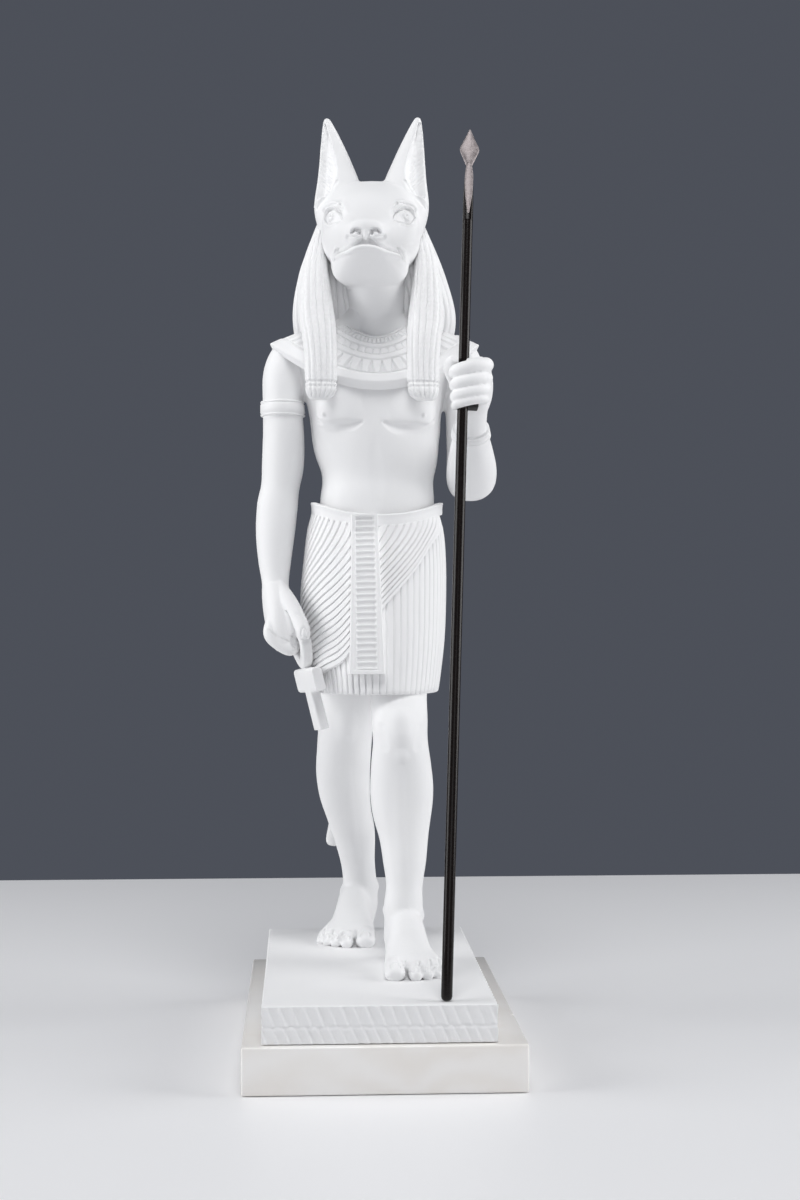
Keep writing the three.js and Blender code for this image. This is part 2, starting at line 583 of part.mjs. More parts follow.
function spear() {
  const neck = rodLength;
  const profile = [[0, 0], [1.4, 0.2], [ROD.radius, 1.4], [ROD.radius, neck - 18], [ROD.radius * 0.82, neck - 4],
    [SPEARHEAD.neck, neck], [SPEARHEAD.neck, neck + 1.4], [0, neck + 1.4]];
  const rod = solid(alongRod(turned(profile), 0));
  const half = SPEARHEAD.width / 4;
  const widest = SPEARHEAD.length * 0.46;
  const blade = [[0.3, SPEARHEAD.neck], [widest, half], [SPEARHEAD.length, 0.2]].map(([h, w]) =>
    turns(8).map((angle) => {
      const edge = Math.cos(angle) * w;
      return v(edge, (Math.sin(angle) * SPEARHEAD.thick * w) / (2 * half), h);
    }));
  const kite = skin(blade);
  const turn = new THREE.Matrix4().makeRotationFromQuaternion(new THREE.Quaternion().setFromUnitVectors(UP, rodWay));
  turn.setPosition(rodFoot.clone().addScaledVector(rodWay, neck));
  return rod.add(kite.transform(turn.elements));
}

function onyxBlock() {
  const { width, depth, height, chamfer } = BLOCK;
  const ring = (inset, z) => {
    const x = width / 2 - inset;
    const y = depth / 2 - inset;
    const c = chamfer;
    return [[x, -y + c], [x, y - c], [x - c, y], [-x + c, y], [-x, y - c], [-x, -y + c], [-x + c, -y], [x - c, -y]]
      .map(([px, py]) => v(px, py, z));
  };
  return skin([ring(0.4, 0), ring(0, 0.6), ring(0, height - 0.8), ring(0.8, height)]);
}

function figure() {
  const flesh = [torso(), limb(LEFT_LEG), limb(RIGHT_LEG), foot(10.8, 9.5, 5, -1), foot(-5.2, 79.5, -9, 1),
    limb(RIGHT_ARM), limb(LEFT_UPPER_ARM), limb(LEFT_FOREARM), rightHand(), leftFist()];
  const dress = [kilt(), wrap(), belt(), apron(), tail(), armBand(RIGHT_ARM, 267, 273.6, 1), bracelet(), collar(),
    wigBack(), frontLocks(-1, 0), frontLocks(1, -3.4), ankh()];
  const whole = fuse([...flesh, ...dress, head(), plinth()]);
  return whole.subtract(rodBore()).subtract(solid(sleeveGeometry(GAP)));
}

// Pieces

function named(name, shape, material) {
  const { vertProperties, triVerts } = shape.getMesh();
  const geometry = new THREE.BufferGeometry();
  geometry.setAttribute('position', new THREE.BufferAttribute(vertProperties, 3));
  geometry.setIndex(new THREE.BufferAttribute(triVerts, 1));
  const mesh = new THREE.Mesh(geometry, material);
  mesh.name = name;
  return mesh;
}

const marble = new THREE.MeshStandardMaterial({ color: 0xf1f0ee, roughness: 0.75, metalness: 0 });
const onyx = new THREE.MeshStandardMaterial({ color: 0xe6e1da, roughness: 0.35, metalness: 0 });
const blackMetal = new THREE.MeshStandardMaterial({ color: 0x0c0a0a, roughness: 0.25, metalness: 0.6 });
const blackRubber = new THREE.MeshStandardMaterial({ color: 0x0a0a0a, roughness: 0.7, metalness: 0 });

const group = new THREE.Group();
group.add(named('anubis_figure', figure(), marble));
group.add(named('stone_base', onyxBlock(), onyx));
group.add(named('spear', spear(), blackMetal));
group.add(named('grip_sleeve', sleeve(), blackRubber));

export default group;
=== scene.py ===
# The finished look of a striding jackal-headed statue: a white cast figure on its plinth,
# a polished onyx block under it, and a black metal spear through the left fist.
# Shapes are worked out in millimetres and brought to metres when a piece is finished.
import math
from math import cos, pi, radians, sin

import bmesh
import bpy
import numpy as np
from mathutils import Euler, Matrix, Vector, noise
from mathutils.bvhtree import BVHTree


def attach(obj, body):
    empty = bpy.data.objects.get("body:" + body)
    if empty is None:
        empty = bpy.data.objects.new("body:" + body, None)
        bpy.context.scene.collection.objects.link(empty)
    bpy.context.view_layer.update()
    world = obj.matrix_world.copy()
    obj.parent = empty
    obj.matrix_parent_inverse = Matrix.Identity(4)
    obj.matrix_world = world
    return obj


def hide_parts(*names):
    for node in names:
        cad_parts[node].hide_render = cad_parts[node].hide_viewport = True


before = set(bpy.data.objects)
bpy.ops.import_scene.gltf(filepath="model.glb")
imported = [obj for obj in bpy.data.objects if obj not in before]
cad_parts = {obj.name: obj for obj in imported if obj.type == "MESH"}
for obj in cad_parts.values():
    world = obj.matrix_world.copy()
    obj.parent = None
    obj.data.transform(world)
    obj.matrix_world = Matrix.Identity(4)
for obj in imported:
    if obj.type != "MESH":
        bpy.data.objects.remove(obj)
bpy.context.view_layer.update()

MM = 0.001
SIDE = Vector((1, 0, 0))
AHEAD = Vector((0, -1, 0))
UP = Vector((0, 0, 1))

PLINTH_TOP = 33.2
HEM = 146.2

# ---------------------------------------------------------------- curves and sections


def smooth_rows(rows, steps):
    """Rows of numbers on a smooth curve through the given ones, steps from each to the next."""
    rows = np.array(rows, float)
    before = np.vstack([rows[:1], rows[:-2]])
    after = np.vstack([rows[2:], rows[-1:]])
    out = []
    for p, q, r, s in zip(before, rows[:-1], rows[1:], after):
        for k in range(steps):
            t = k / steps
            out.append(q + 0.5 * t * (r - p + t * (2 * p - 5 * q + 4 * r - s + t * (3 * (q - r) + s - p))))
    return np.array(out + [rows[-1]])


class Table:
    """Rows of numbers read at any value of their first column."""

    def __init__(self, rows, steps=8):
        self.rows = smooth_rows(rows, steps)

    def __call__(self, key):
        return [np.interp(key, self.rows[:, 0], column) for column in self.rows[:, 1:].T]


def mix(a, b, t):
    return a + (b - a) * t


def ease(value, low, high):
    """0 below low, 1 above high, and a smooth step between."""
    t = np.clip((value - low) / (high - low), 0, 1)
    return t * t * (3 - 2 * t)


def ovals(angle, half, front, back, power=2.0):
    """Points of an oval that is deeper in front or behind; the front is where the sine is negative."""
    c, s = np.cos(angle), np.sin(angle)
    x = half * np.sign(c) * np.abs(c) ** (2 / power)
    y = np.where(s < 0, front, back) * np.sign(s) * np.abs(s) ** (2 / power)
    return x, y


def turns(around):
    return np.arange(around) / around * 2 * pi


def rounded(phase, sharp=0.5):
    """Rounded ribs with a narrow groove at each whole number of phase: 0 in the groove, 1 on top."""
    return np.abs(np.sin(pi * phase)) ** sharp


def pleated(phase):
    """Flat laid pleats, each a little higher towards its sharp edge."""
    part = phase % 1
    return ease(part, 0, 0.3) * (0.7 + 0.3 * part) * (1 - ease(part, 0.9, 1))


def places(x, y, z):
    return np.stack(np.broadcast_arrays(x, y, z), -1).astype(float)


def outwards(ring, lift):
    """A level ring moved out of itself by lift, a number or one for each of its points."""
    way = np.roll(ring, -1, 0) - np.roll(ring, 1, 0)
    out = np.stack([way[:, 1], -way[:, 0], 0 * way[:, 0]], 1)
    out /= np.linalg.norm(out, axis=1)[:, None] + 1e-9
    return ring + out * np.reshape(lift, (-1, 1))


def evenly(ring, around):
    """The same closed ring with its points at even steps."""
    closed = np.vstack([ring, ring[:1]])
    run = np.concatenate([[0], np.cumsum(np.linalg.norm(np.diff(closed, axis=0), axis=1))])
    steps = np.linspace(0, run[-1], around, endpoint=False)
    return np.stack([np.interp(steps, run, column) for column in closed.T], 1)


# ---------------------------------------------------------------- shapes, in millimetres


def skin(rings, low=None, high=None):
    """A ball drawn out through rings of points, the first at its lower pole, closed at low and high."""
    rings = np.array(rings)
    count, around = rings.shape[:2]
    low = rings[0].mean(0) if low is None else low
    high = rings[-1].mean(0) if high is None else high
    shape = bmesh.new()
    bmesh.ops.create_uvsphere(shape, u_segments=around, v_segments=count + 1, radius=1)
    for vert in shape.verts:
        ring = round((1 - math.acos(max(-1, min(1, vert.co.z))) / pi) * (count + 1)) - 1
        step = round(math.atan2(vert.co.y, vert.co.x) / (2 * pi) * around) % around
        vert.co = low if ring < 0 else high if ring >= count else rings[ring, step]
    bmesh.ops.recalc_face_normals(shape, faces=shape.faces)
    return shape


def filled(station):
    """A station with its back as deep as its front, and its oval plain, where that isn't given."""
    station = tuple(station)
    if len(station) == 5:
        station += (station[4],)
    if len(station) == 6:
        station += (2.0,)
    return station if len(station) == 8 else station + (station[6],)


def limb(stations, around=28, steps=5, side=SIDE):
    """A limb through stations: x, y, z, half width, front, back, squareness in front and behind."""
    rows = smooth_rows([filled(station) for station in stations], steps)
    angle = turns(around)
    rings = []
    for i, row in enumerate(rows):
        way = Vector(rows[min(i + 1, len(rows) - 1)][:3]) - Vector(rows[max(i - 1, 0)][:3])
        way.normalize()
        across = (side - way * side.dot(way)).normalized()
        behind = way.cross(across)
        power = np.where(np.sin(angle) < 0, row[6], row[7])
        x, y = ovals(angle, row[3], row[4], row[5], power)
        rings.append(row[:3] + np.outer(x, across) + np.outer(y, behind))
    return skin(rings)


def ball(x, y, z, rx, ry, rz, turn=(0, 0, 0)):
    shape = bmesh.new()
    place = Matrix.Translation((x, y, z)) @ Euler([radians(a) for a in turn]).to_matrix().to_4x4()
    place = place @ Matrix.Diagonal((rx, ry, rz, 1))
    bmesh.ops.create_uvsphere(shape, u_segments=24, v_segments=16, radius=1, matrix=place)
    return shape


def sheet(grid):
    """A sheet through rows of points."""
    rows, columns = grid.shape[:2]
    shape = bmesh.new()
    bmesh.ops.create_grid(shape, x_segments=columns - 1, y_segments=rows - 1, size=0.5)
    for vert in shape.verts:
        vert.co = grid[round((vert.co.y + 0.5) * (rows - 1)), round((vert.co.x + 0.5) * (columns - 1))]
    return shape


def hoop(grid):
    """A closed ring of closed sections, whose last row and column repeat the first."""
    shape = sheet(grid)
    bmesh.ops.remove_doubles(shape, verts=shape.verts, dist=1e-4)
    bmesh.ops.recalc_face_normals(shape, faces=shape.faces)
    return shape


def gathered(shapes):
    """One mesh of several shapes."""
    whole = bmesh.new()
    for shape in shapes:
        part = bpy.data.meshes.new("part")
        shape.to_mesh(part)
        shape.free()
        whole.from_mesh(part)
        bpy.data.meshes.remove(part)
    mesh = bpy.data.meshes.new("gathered")
    whole.to_mesh(mesh)
    whole.free()
    return mesh


def as_shape(mesh):
    shape = bmesh.new()
    shape.from_mesh(mesh)
    return shape


def through_modifiers(mesh, *modifiers):
    """The mesh after a row of modifiers, each a type and its settings."""
    holder = bpy.data.objects.new("holder", mesh)
    bpy.context.collection.objects.link(holder)
    for kind, settings in modifiers:
        modifier = holder.modifiers.new(kind.lower(), kind)
        for name, value in settings.items():
            setattr(modifier, name, value)
    seen = holder.evaluated_get(bpy.context.evaluated_depsgraph_get())
    result = bpy.data.meshes.new_from_object(seen)
    bpy.data.objects.remove(holder)
    return result


def melted(mesh, grain, soft):
    """The shapes of a mesh melted into one skin, with the creases between them softened."""
    return through_modifiers(
        mesh,
        ("REMESH", {"mode": "VOXEL", "voxel_size": grain, "use_smooth_shade": True}),
        ("SMOOTH", {"factor": 0.5, "iterations": soft}),
    )


def thinned(mesh, triangles):
    """The mesh with about that many triangles."""
    count = sum(len(face.vertices) - 2 for face in mesh.polygons)
    if count <= triangles:
        return mesh
    return through_modifiers(mesh, ("DECIMATE", {"ratio": triangles / count}))


def read_points(mesh, what):
    values = np.empty(len(mesh.vertices) * 3, np.float32)
    mesh.vertices.foreach_get(what, values)
    return values.reshape(-1, 3).astype(float)


def chiselled(mesh, strokes):
    """Raises or sinks the skin along strokes.

    A stroke is points near the skin, its half width, its lift, and how square its section is. A point's fourth
    number is a share of the half width, for a stroke that narrows.
    """
    place, normals = read_points(mesh, "co"), read_points(mesh, "normal")
    tree = BVHTree.FromPolygons([tuple(p) for p in place], [tuple(f.vertices) for f in mesh.polygons])
    lift = np.zeros(len(place))
    for path, width, height, *square in strokes:
        path = [tuple(point) + (1,) * (4 - len(point)) for point in path]
        path = smooth_rows(path, 6) if len(path) > 1 else np.array(path * 2, float)
        path[:, :3] = [tree.find_nearest(Vector(p[:3]))[0] for p in path]
        low, high = path[:, :3].min(0) - width, path[:, :3].max(0) + width
        near = np.nonzero(((place > low) & (place < high)).all(1))[0]
        best = np.full(len(near), 1e9)
        for start, end in zip(path[:-1], path[1:]):
            way = end[:3] - start[:3]
            t = ((place[near] - start[:3]) @ way / max(way @ way, 1e-9)).clip(0, 1)
            gap = np.linalg.norm(place[near] - start[:3] - t[:, None] * way, axis=1)
            best = np.minimum(best, gap / (width * mix(start[3], end[3], t)))
        lift[near] += height * (1 - best.clip(0, 1) ** (square or [2])[0]) ** 2
    place += normals * lift[:, None]
    mesh.vertices.foreach_set("co", place.astype(np.float32).ravel())
    mesh.update()
    return mesh


# ---------------------------------------------------------------- body

TORSO = [
    (205, 0.6, 27, 24, 14, 17), (222, 0.8, 27.5, 24.8, 16.6, 18), (231, 1.4, 28, 25, 17.5, 18),
    (239.4, 1.6, 28, 24.4, 16.8, 16.5), (248, 1.6, 28, 26.4, 17.6, 17), (257, 0.9, 28, 28, 18.6, 18.4),
    (266, 0.6, 28, 28.8, 19.4, 19.5), (275, 0.4, 28, 30.5, 19.4, 20.5), (284, 0.2, 28, 33, 19, 20.5),
    (292, 0.2, 28, 36, 17, 19), (299, 0.2, 28, 36, 12.5, 15.5), (305, 0.3, 27.5, 26, 10.5, 12.5),
    (311, 0.4, 26.5, 15, 10.5, 11.5), (318, 0.5, 25, 11.4, 11, 11.5), (334, 0.3, 22, 11.4, 11, 11.5),
]
RIGHT_ARM = [
    (-43, 20, 186, 6.2, 8, 7.4), (-43.2, 22.4, 194, 5.9, 6.2, 6.2), (-43.5, 25, 204, 7.3, 7.2, 7.2),
    (-43.3, 27.4, 216, 8.6, 8.4, 8.6), (-42.4, 29.4, 228, 9, 9, 9), (-41.2, 30.4, 236, 8.5, 9, 9),
    (-40, 30, 246, 9.3, 9.6, 9.4), (-39.7, 29.4, 259, 9.1, 10.6, 10), (-40.2, 29, 272, 8.6, 11, 10.6),
    (-40.2, 28.4, 286, 8.4, 11, 11), (-37.8, 28, 296, 6, 8, 8.4), (-34, 28, 301, 2.4, 3.4, 3.4),
]
LEFT_UPPER_ARM = [
    (43, 27, 231, 4, 4, 4), (42.6, 27.4, 234, 8.4, 7.4, 7), (42, 28, 240, 10.2, 9, 9), (41, 28.6, 252, 9, 9.8, 9.4),
    (40.4, 28.8, 265, 8.8, 10.6, 10), (40.4, 28.6, 277, 8.8, 11, 10.6), (40.4, 28.4, 287, 8.4, 11, 11),
    (38, 28, 297, 6, 8, 8.4), (34, 28, 302, 2.4, 3.4, 3.4),
]
LEFT_FOREARM = [
    (42.6, 29, 234, 7, 5, 5), (42.4, 24, 237.5, 10.4, 8, 8.6), (41.8, 15.5, 243.5, 10.9, 8.6, 9),
    (40.6, 5, 252, 9, 7.6, 7.8), (39.8, -3, 258.6, 7, 6, 6.4), (39.6, -9, 264, 6.5, 5.4, 6.2),
    (39, -14.5, 269.5, 7.6, 6.6, 7),
]
LEFT_LEG = [
    (10.9, 1, 42, 8, 9, 6.4), (11.2, -1, 51, 8.2, 8.6, 7.4), (11.2, -2.6, 58, 8.3, 7.8, 8.6),
    (11.6, -2.4, 66, 7.8, 6.4, 9), (11.8, -0.6, 76, 9.2, 7, 11.4), (11.6, 1.4, 86, 10.5, 7.8, 14.2),
    (10.9, 2.6, 97, 12.8, 8.6, 17), (10.8, 2.8, 107, 13.5, 9.2, 17.8), (10.4, 2.2, 118, 12.7, 10.2, 16),
    (10.1, 1.4, 127, 11.7, 11, 14.4), (9.8, 2, 136, 12, 10.6, 15), (9.8, 9, 147, 12.2, 9.2, 15),
    (10.5, 12, 162, 13, 10, 14),
]
RIGHT_LEG = [
    (-6.2, 71, 40, 8.2, 9, 5.6), (-5.2, 68, 48, 8.6, 8, 7), (-5, 66, 55, 7.9, 7, 8.8),
    (-6, 63, 66, 7.8, 6.6, 9.2), (-7.9, 58.5, 80, 9.6, 7.6, 13), (-10.4, 54, 90, 10.3, 8.4, 16),
    (-12.4, 50, 100, 11.6, 9, 17.8), (-13.2, 47, 110, 12.2, 9.4, 17.4), (-12.8, 44, 120, 12.2, 10.4, 15.4),
    (-12.3, 42, 129, 12.2, 11.6, 14), (-11.8, 40.5, 139, 12.2, 12, 15), (-10.8, 34, 164, 12, 12, 13),
]
TAIL = [
    (-18, 72, 73, 1.8, 1.6), (-17.4, 72.4, 76, 3.2, 2.6), (-15.4, 71.6, 88, 2.8, 2.6), (-11, 67, 108, 2.5, 2.4),
    (-5.4, 57.4, 130, 2.4, 2.3), (-1.6, 53.4, 146, 2.4, 2.2), (0, 50, 156, 2, 2),
]


def finger(path, radius, side=SIDE):
    return limb([(x, y, z, radius * fat, radius * fat) for x, y, z, fat in path], 18, 5, side)


def left_fist():
    palm = limb([
        (40, -13, 268, 6.4, 6, 6.4), (40.4, -17, 272, 7, 6.6, 7), (40.2, -19.5, 277, 7.2, 7, 7.2),
        (39.4, -20, 282.6, 6.6, 6.6, 6.6), (38.8, -20, 286.6, 4.4, 4.6, 4.6),
    ])
    fingers = [
        finger([
            (44.8 - 0.3 * n, -17.5, z + 0.5, 0.94), (43.6 - 0.2 * n, -26.6, z + 0.1, 1.04),
            (37.5, -30 + 0.3 * n, z - 1, 0.96), (31.4, -27.6, z - 2.6, 0.92), (30.4 + 0.5 * n, -22.6, z - 3.5, 0.6),
        ], radius, UP)
        for n, (z, radius) in enumerate([(283.2, 2.9), (277.8, 2.8), (273, 2.6), (269.4, 2.1)])
    ]
    thumb = finger([
        (38, -12, 272, 1), (33.5, -13.5, 277, 1.12), (30.4, -17.6, 281.6, 1.06), (29.9, -21.4, 284.4, 0.96),
        (31, -25, 286, 0.6),
    ], 2.9, AHEAD)
    return [palm, *fingers, thumb]


def right_hand():
    """The fist round the ankh's loop: the thumb points down over its front."""
    palm = limb([
        (-38.6, 17.4, 165.8, 3.8, 10, 8, 2.4), (-39.6, 17.4, 169, 5.4, 11.4, 9.4, 2.4), (-41, 17.6, 176, 6.2, 11.8, 9.8, 2.4),
        (-42.2, 18.6, 184, 6.4, 10, 9), (-43.2, 21.6, 192, 5.9, 6.6, 6.6),
    ])
    web = limb([(-41, 18, 192, 3, 4, 4), (-38.6, 14.6, 184, 5.4, 6, 6), (-36.4, 13, 176, 5, 6.4, 7), (-36.4, 13, 170, 3.4, 5.6, 6)])
    fingers = []
    for n in range(4):
        y = 9.4 + 5 * n
        fingers.append(finger([
            (-43, y + 3, 183, 0.6), (-44.6, y + 1, 176.6, 1), (-44.8, y, 171.8, 1.12), (-41, y - 0.2, 168 + 0.2 * n, 1.1),
            (-36.6, y, 165.8 + 0.2 * n, 1.06), (-34.9, y + 1.6, 168, 0.9), (-36.6, y + 3, 171.4, 0.7),
        ], 2.9 - 0.12 * n, AHEAD))
    thumb = finger([
        (-41.4, 18, 193, 0.9), (-37.8, 11.4, 186.4, 1.25), (-34.2, 6.6, 180.6, 1.14), (-31.8, 3.4, 175.6, 1.08),
        (-30.8, 2, 172.2, 0.98), (-30.5, 1.6, 170, 0.66),
    ], 3)
    return [palm, web, *fingers, thumb]


def hand_strokes():
    """The fold between hand and thumb, the finger's edge, and the nail of the right thumb."""
    nail = [(-32.2, -1.4, 170.8), (-32.3, -1.4, 173), (-31.4, -0.8, 175), (-30, -0.8, 175), (-29, -1, 173), (-29.2, -1, 170.8)]
    return [
        (nail, 0.5, -0.5), ([(-34, 3, 181), (-32, 2.4, 180)], 0.9, -0.3),
        ([(-46, 6.6, 174.4, 0.5), (-41.4, 6.4, 171), (-37, 6.4, 168.8, 0.6)], 0.8, -0.5),
        ([(-38.4, 6.4, 182, 0.3), (-36.4, 5, 178, 0.8), (-34.9, 5, 173.4), (-34, 5.4, 168.4)], 1.5, -1.9),
    ]


# Toes: across from the foot's middle towards the big toe, reach, half width, half height.
TOES = [(8.8, 48.5, 4.4, 3.5), (0.6, 49.3, 2.9, 2.8), (-4.5, 47.8, 2.6, 2.6), (-8.7, 45.2, 2.4, 2.4), (-12, 41.5, 2.2, 2.1)]


class Foot:
    """A foot on the plinth: its heel, its heading in degrees, and the side of its big toe."""

    def __init__(self, x, heel, heading, inner):
        self.x, self.heel, self.turn, self.inner = x, heel, radians(heading), inner

    def at(self, across, ahead, height):
        c, s = cos(self.turn), sin(self.turn)
        across *= self.inner
        return (self.x + across * c + ahead * s, self.heel - ahead * c + across * s, PLINTH_TOP + height)

    def station(self, across, ahead, half, top):
        tall = (top + 1.2) / 2
        return (*self.at(across, ahead, top - tall), half, tall, tall, 2.6)

    def sole(self):
        """The foot without its toes, and the slope of the instep up into the leg."""
        rows = [(0, 12, 8, 26), (0.1, 17, 8.2, 24), (0.2, 21, 8.6, 20.4), (0.2, 25, 9.2, 16.2), (0.3, 29, 10.2, 12.6), (0, 34, 11.4, 8.6)]
        return [limb([
            self.station(0, 1, 4.5, 7), self.station(0, 4, 7.4, 13), self.station(0, 10, 8, 17),
            self.station(0.2, 18, 8.4, 16.5), self.station(0.4, 26, 10, 12), self.station(-0.2, 34, 12.2, 8.4),
            self.station(-0.8, 41, 11.8, 5),
        ]), limb([self.station(*row)[:6] for row in rows])]

    def toes(self):
        made = []
        for across, reach, half, high in TOES:
            made.append(limb([
                (*self.at(across * 0.94, reach - 13, high + 1.6), half * 0.8, high * 0.8),
                (*self.at(across, reach - 8, high + 0.9), half * 0.84, high * 0.86),
                (*self.at(across, reach - 3.4, high - 0.6), half, high, high * 0.94),
                (*self.at(across, reach - 0.9, high - 0.9), half * 0.78, high * 0.76),
                (*self.at(across, reach, high - 1.1), half * 0.36, high * 0.36),
            ], 18, 5))
        return made

    def strokes(self):
        """Nails, and the cuts between the toes."""
        made = []
        for across, reach, half, high in TOES:
            wide, top = half * 0.56, 2 * high
            nail = [(-wide, -0.6), (-wide, -2.4), (-wide * 0.7, -4.1), (0, -4.7), (wide * 0.7, -4.1), (wide, -2.4), (wide, -0.6)]
            made.append(([self.at(across + a, reach + b, top) for a, b in nail], 0.5, -0.55))
            made.append(([self.at(across, reach - 1.8, top), self.at(across, reach - 3, top)], half * 0.6, 0.22))
            made.append(([self.at(across, reach - 7.6, top)], half, 0.35))
        for (across, reach, half, high), (after, _, other, _) in zip(TOES[:-1], TOES[1:]):
            gap = (across - half + after + other) / 2
            made.append(([self.at(gap, reach - 1, 3), self.at(gap, reach - 5, 5), self.at(gap, reach - 9.5, 6.5)], 0.8, -0.9))
        return made


LEFT_FOOT = Foot(10.8, 9.5, 5, -1)
RIGHT_FOOT = Foot(-5.2, 79.5, -9, 1)


def breast(side):
    """One side of the chest, its lower edge a soft step above the belly."""
    rows = [(260.4, 9, 12), (261.6, 11.6, 10), (263.6, 12.8, 8.6), (268, 13, 8.0), (274, 13, 8.4), (283, 13, 9.8), (293, 12, 13)]
    return limb([(0.2 + side * 12.8, 20, z, half, 20 - front, 4, 2.7) for z, half, front in rows], 40, 5)


def chest_strokes():
    strokes = []
    for side in (-1, 1):
        under = [(-1.3 + side * x, y, z, w) for x, y, z, w in
                 ((5, 8, 262.8, 0.4), (9.6, 8, 260.8, 1), (15.6, 9, 260.2, 1), (20.6, 12, 261.4, 1), (25.4, 17, 265, 0.5))]
        strokes.append((under, 3.2, -1.0))
        strokes.append(([(-1.3 + side * 21.8, 10, 266)], 1.4, 0.6))
    strokes.append(([(-0.4, 10, 256, 0.6), (0.4, 12, 240), (1, 12, 229, 0.6)], 4, -0.2))
    return strokes


def knee_strokes():
    return [
        ([(10, -9, 131), (9.8, -9, 137)], 7, 0.9), ([(10.2, -8, 121)], 4, 0.5),
        ([(3, -5, 133, 0.7), (4, -6, 125, 0.7)], 4, -0.35), ([(17, -5, 133, 0.7), (16, -6, 125, 0.7)], 4, -0.35),
        ([(9, -6, 112), (9.6, -6, 92), (10.6, -8, 72)], 3.5, 0.2),
        ([(2.6, 2, 55.4)], 4, 1.0), ([(19.6, 0, 53.4)], 4, 1.0),
        ([(-12.2, 31, 128), (-12, 30, 134)], 6, 0.7), ([(-12.4, 39, 112), (-10, 46, 88), (-7.6, 54, 70)], 3.5, 0.2),
        ([(3.4, 66, 55.4)], 4, 0.9), ([(-13, 68, 53.4)], 4, 0.9),
    ]


def upper_body():
    torso = limb([(x, y, z, half, front, back, 2.1) for z, x, y, half, front, back in TORSO], 48, 6)
    rough = melted(gathered([torso, breast(-1), breast(1), limb(RIGHT_ARM), limb(LEFT_UPPER_ARM), limb(LEFT_FOREARM)]), 0.8, 12)
    whole = gathered([as_shape(rough), *right_hand(), *left_fist()])
    return thinned(chiselled(melted(whole, 0.45, 3), chest_strokes() + hand_strokes()), 130000)


def lower_body():
    rough = melted(gathered([limb(LEFT_LEG), limb(RIGHT_LEG), *LEFT_FOOT.sole(), *RIGHT_FOOT.sole()]), 0.7, 14)
    whole = gathered([as_shape(rough), *LEFT_FOOT.toes(), *RIGHT_FOOT.toes(), limb(TAIL)])
    strokes = knee_strokes() + LEFT_FOOT.strokes() + RIGHT_FOOT.strokes()
    return thinned(chiselled(melted(whole, 0.45, 4), strokes), 120000)


# ---------------------------------------------------------------- kilt, belt and apron

KILT = Table([
    (HEM, 0.7, 25, 26.7, 32, 33), (152, 0.8, 25, 27.6, 31.5, 32.5), (169, 0.6, 25.5, 29.8, 30, 30),
    (187, 0.4, 26, 30.8, 27, 28), (204, 1.1, 26.5, 30.1, 23.5, 25.5), (217, 1.4, 27, 28.8, 20, 21),
    (226, 1.2, 27.5, 26.6, 18.8, 18.4), (236, 1.2, 27.5, 26.6, 18.8, 18.4),
])
WRAP_EDGE = Table([
    (-215, 147.5), (-180, 150), (-138, 156.5), (-115, 163), (-84, 185), (-61, 199.5), (-44, 210), (-19, 219),
])
WRAP_START, WRAP_END = -19, -215
WRAP_PLEATS = 30


def on_kilt(angle, height, proud=0.0):
    x, y, half, front, back = KILT(height)
    p, q = ovals(angle, half + proud, front + proud, back + proud, 2.1)
    return places(x + p, y + q, height)


def belt_line(angle):
    s = np.sin(angle)
    return mix(224, np.where(s < 0, 218, 224.4), s * s)


def kilt():
    angle = turns(768)
    lift = 1.0 * pleated(angle / (2 * pi) * 64) - 0.7
    rings = [on_kilt(angle, mix(HEM + 0.6 * (1 - v), belt_line(angle) + 1, v), lift - 0.6 * (v == 0))
             for v in (0, 0.006, *np.linspace(0.03, 1, 24))]
    return skin(rings)


def wrap():
    """The upper layer, whose pleats fan from the belt down to the right hip."""
    u = np.linspace(0, 1, WRAP_PLEATS * 10 + 1)
    hem = ease(u * WRAP_PLEATS, 0, 0.12)
    first = ease(u * WRAP_PLEATS, 0.85, 1)
    lift = 1.0 + 1.0 * pleated(1 - u * WRAP_PLEATS % 1) * first + 0.5 * (1 - first)
    start = mix(WRAP_START, WRAP_END + 1.5, u)
    rings = []
    for v in np.linspace(0, 1, 110) ** 1.6:
        degrees_round = mix(start, WRAP_END, v)
        angle = np.radians(degrees_round)
        share = (start - degrees_round) / np.maximum(WRAP_START - degrees_round, 1e-6)
        height = mix(belt_line(angle) + 0.8, WRAP_EDGE(degrees_round)[0], share ** 0.7)
        face = on_kilt(angle, height, lift * hem + 0.5 * (1 - hem))
        back = on_kilt(angle, height, -0.8)[::-10]
        rings.append(np.vstack([face, back]))
    return skin(rings)


def belt():
    turn, section = np.meshgrid(np.linspace(0, 2 * pi, 241), np.linspace(0, 2 * pi, 33))
    out, up = ovals(section, 1.2, 2.7, 2.7, 7)
    lip = 0.35 * ease(up, 1.5, 1.9)
    at = on_kilt(turn, belt_line(turn) + 2.7, 1.0 + out + lip)
    return hoop(at + places(0, 0, up))


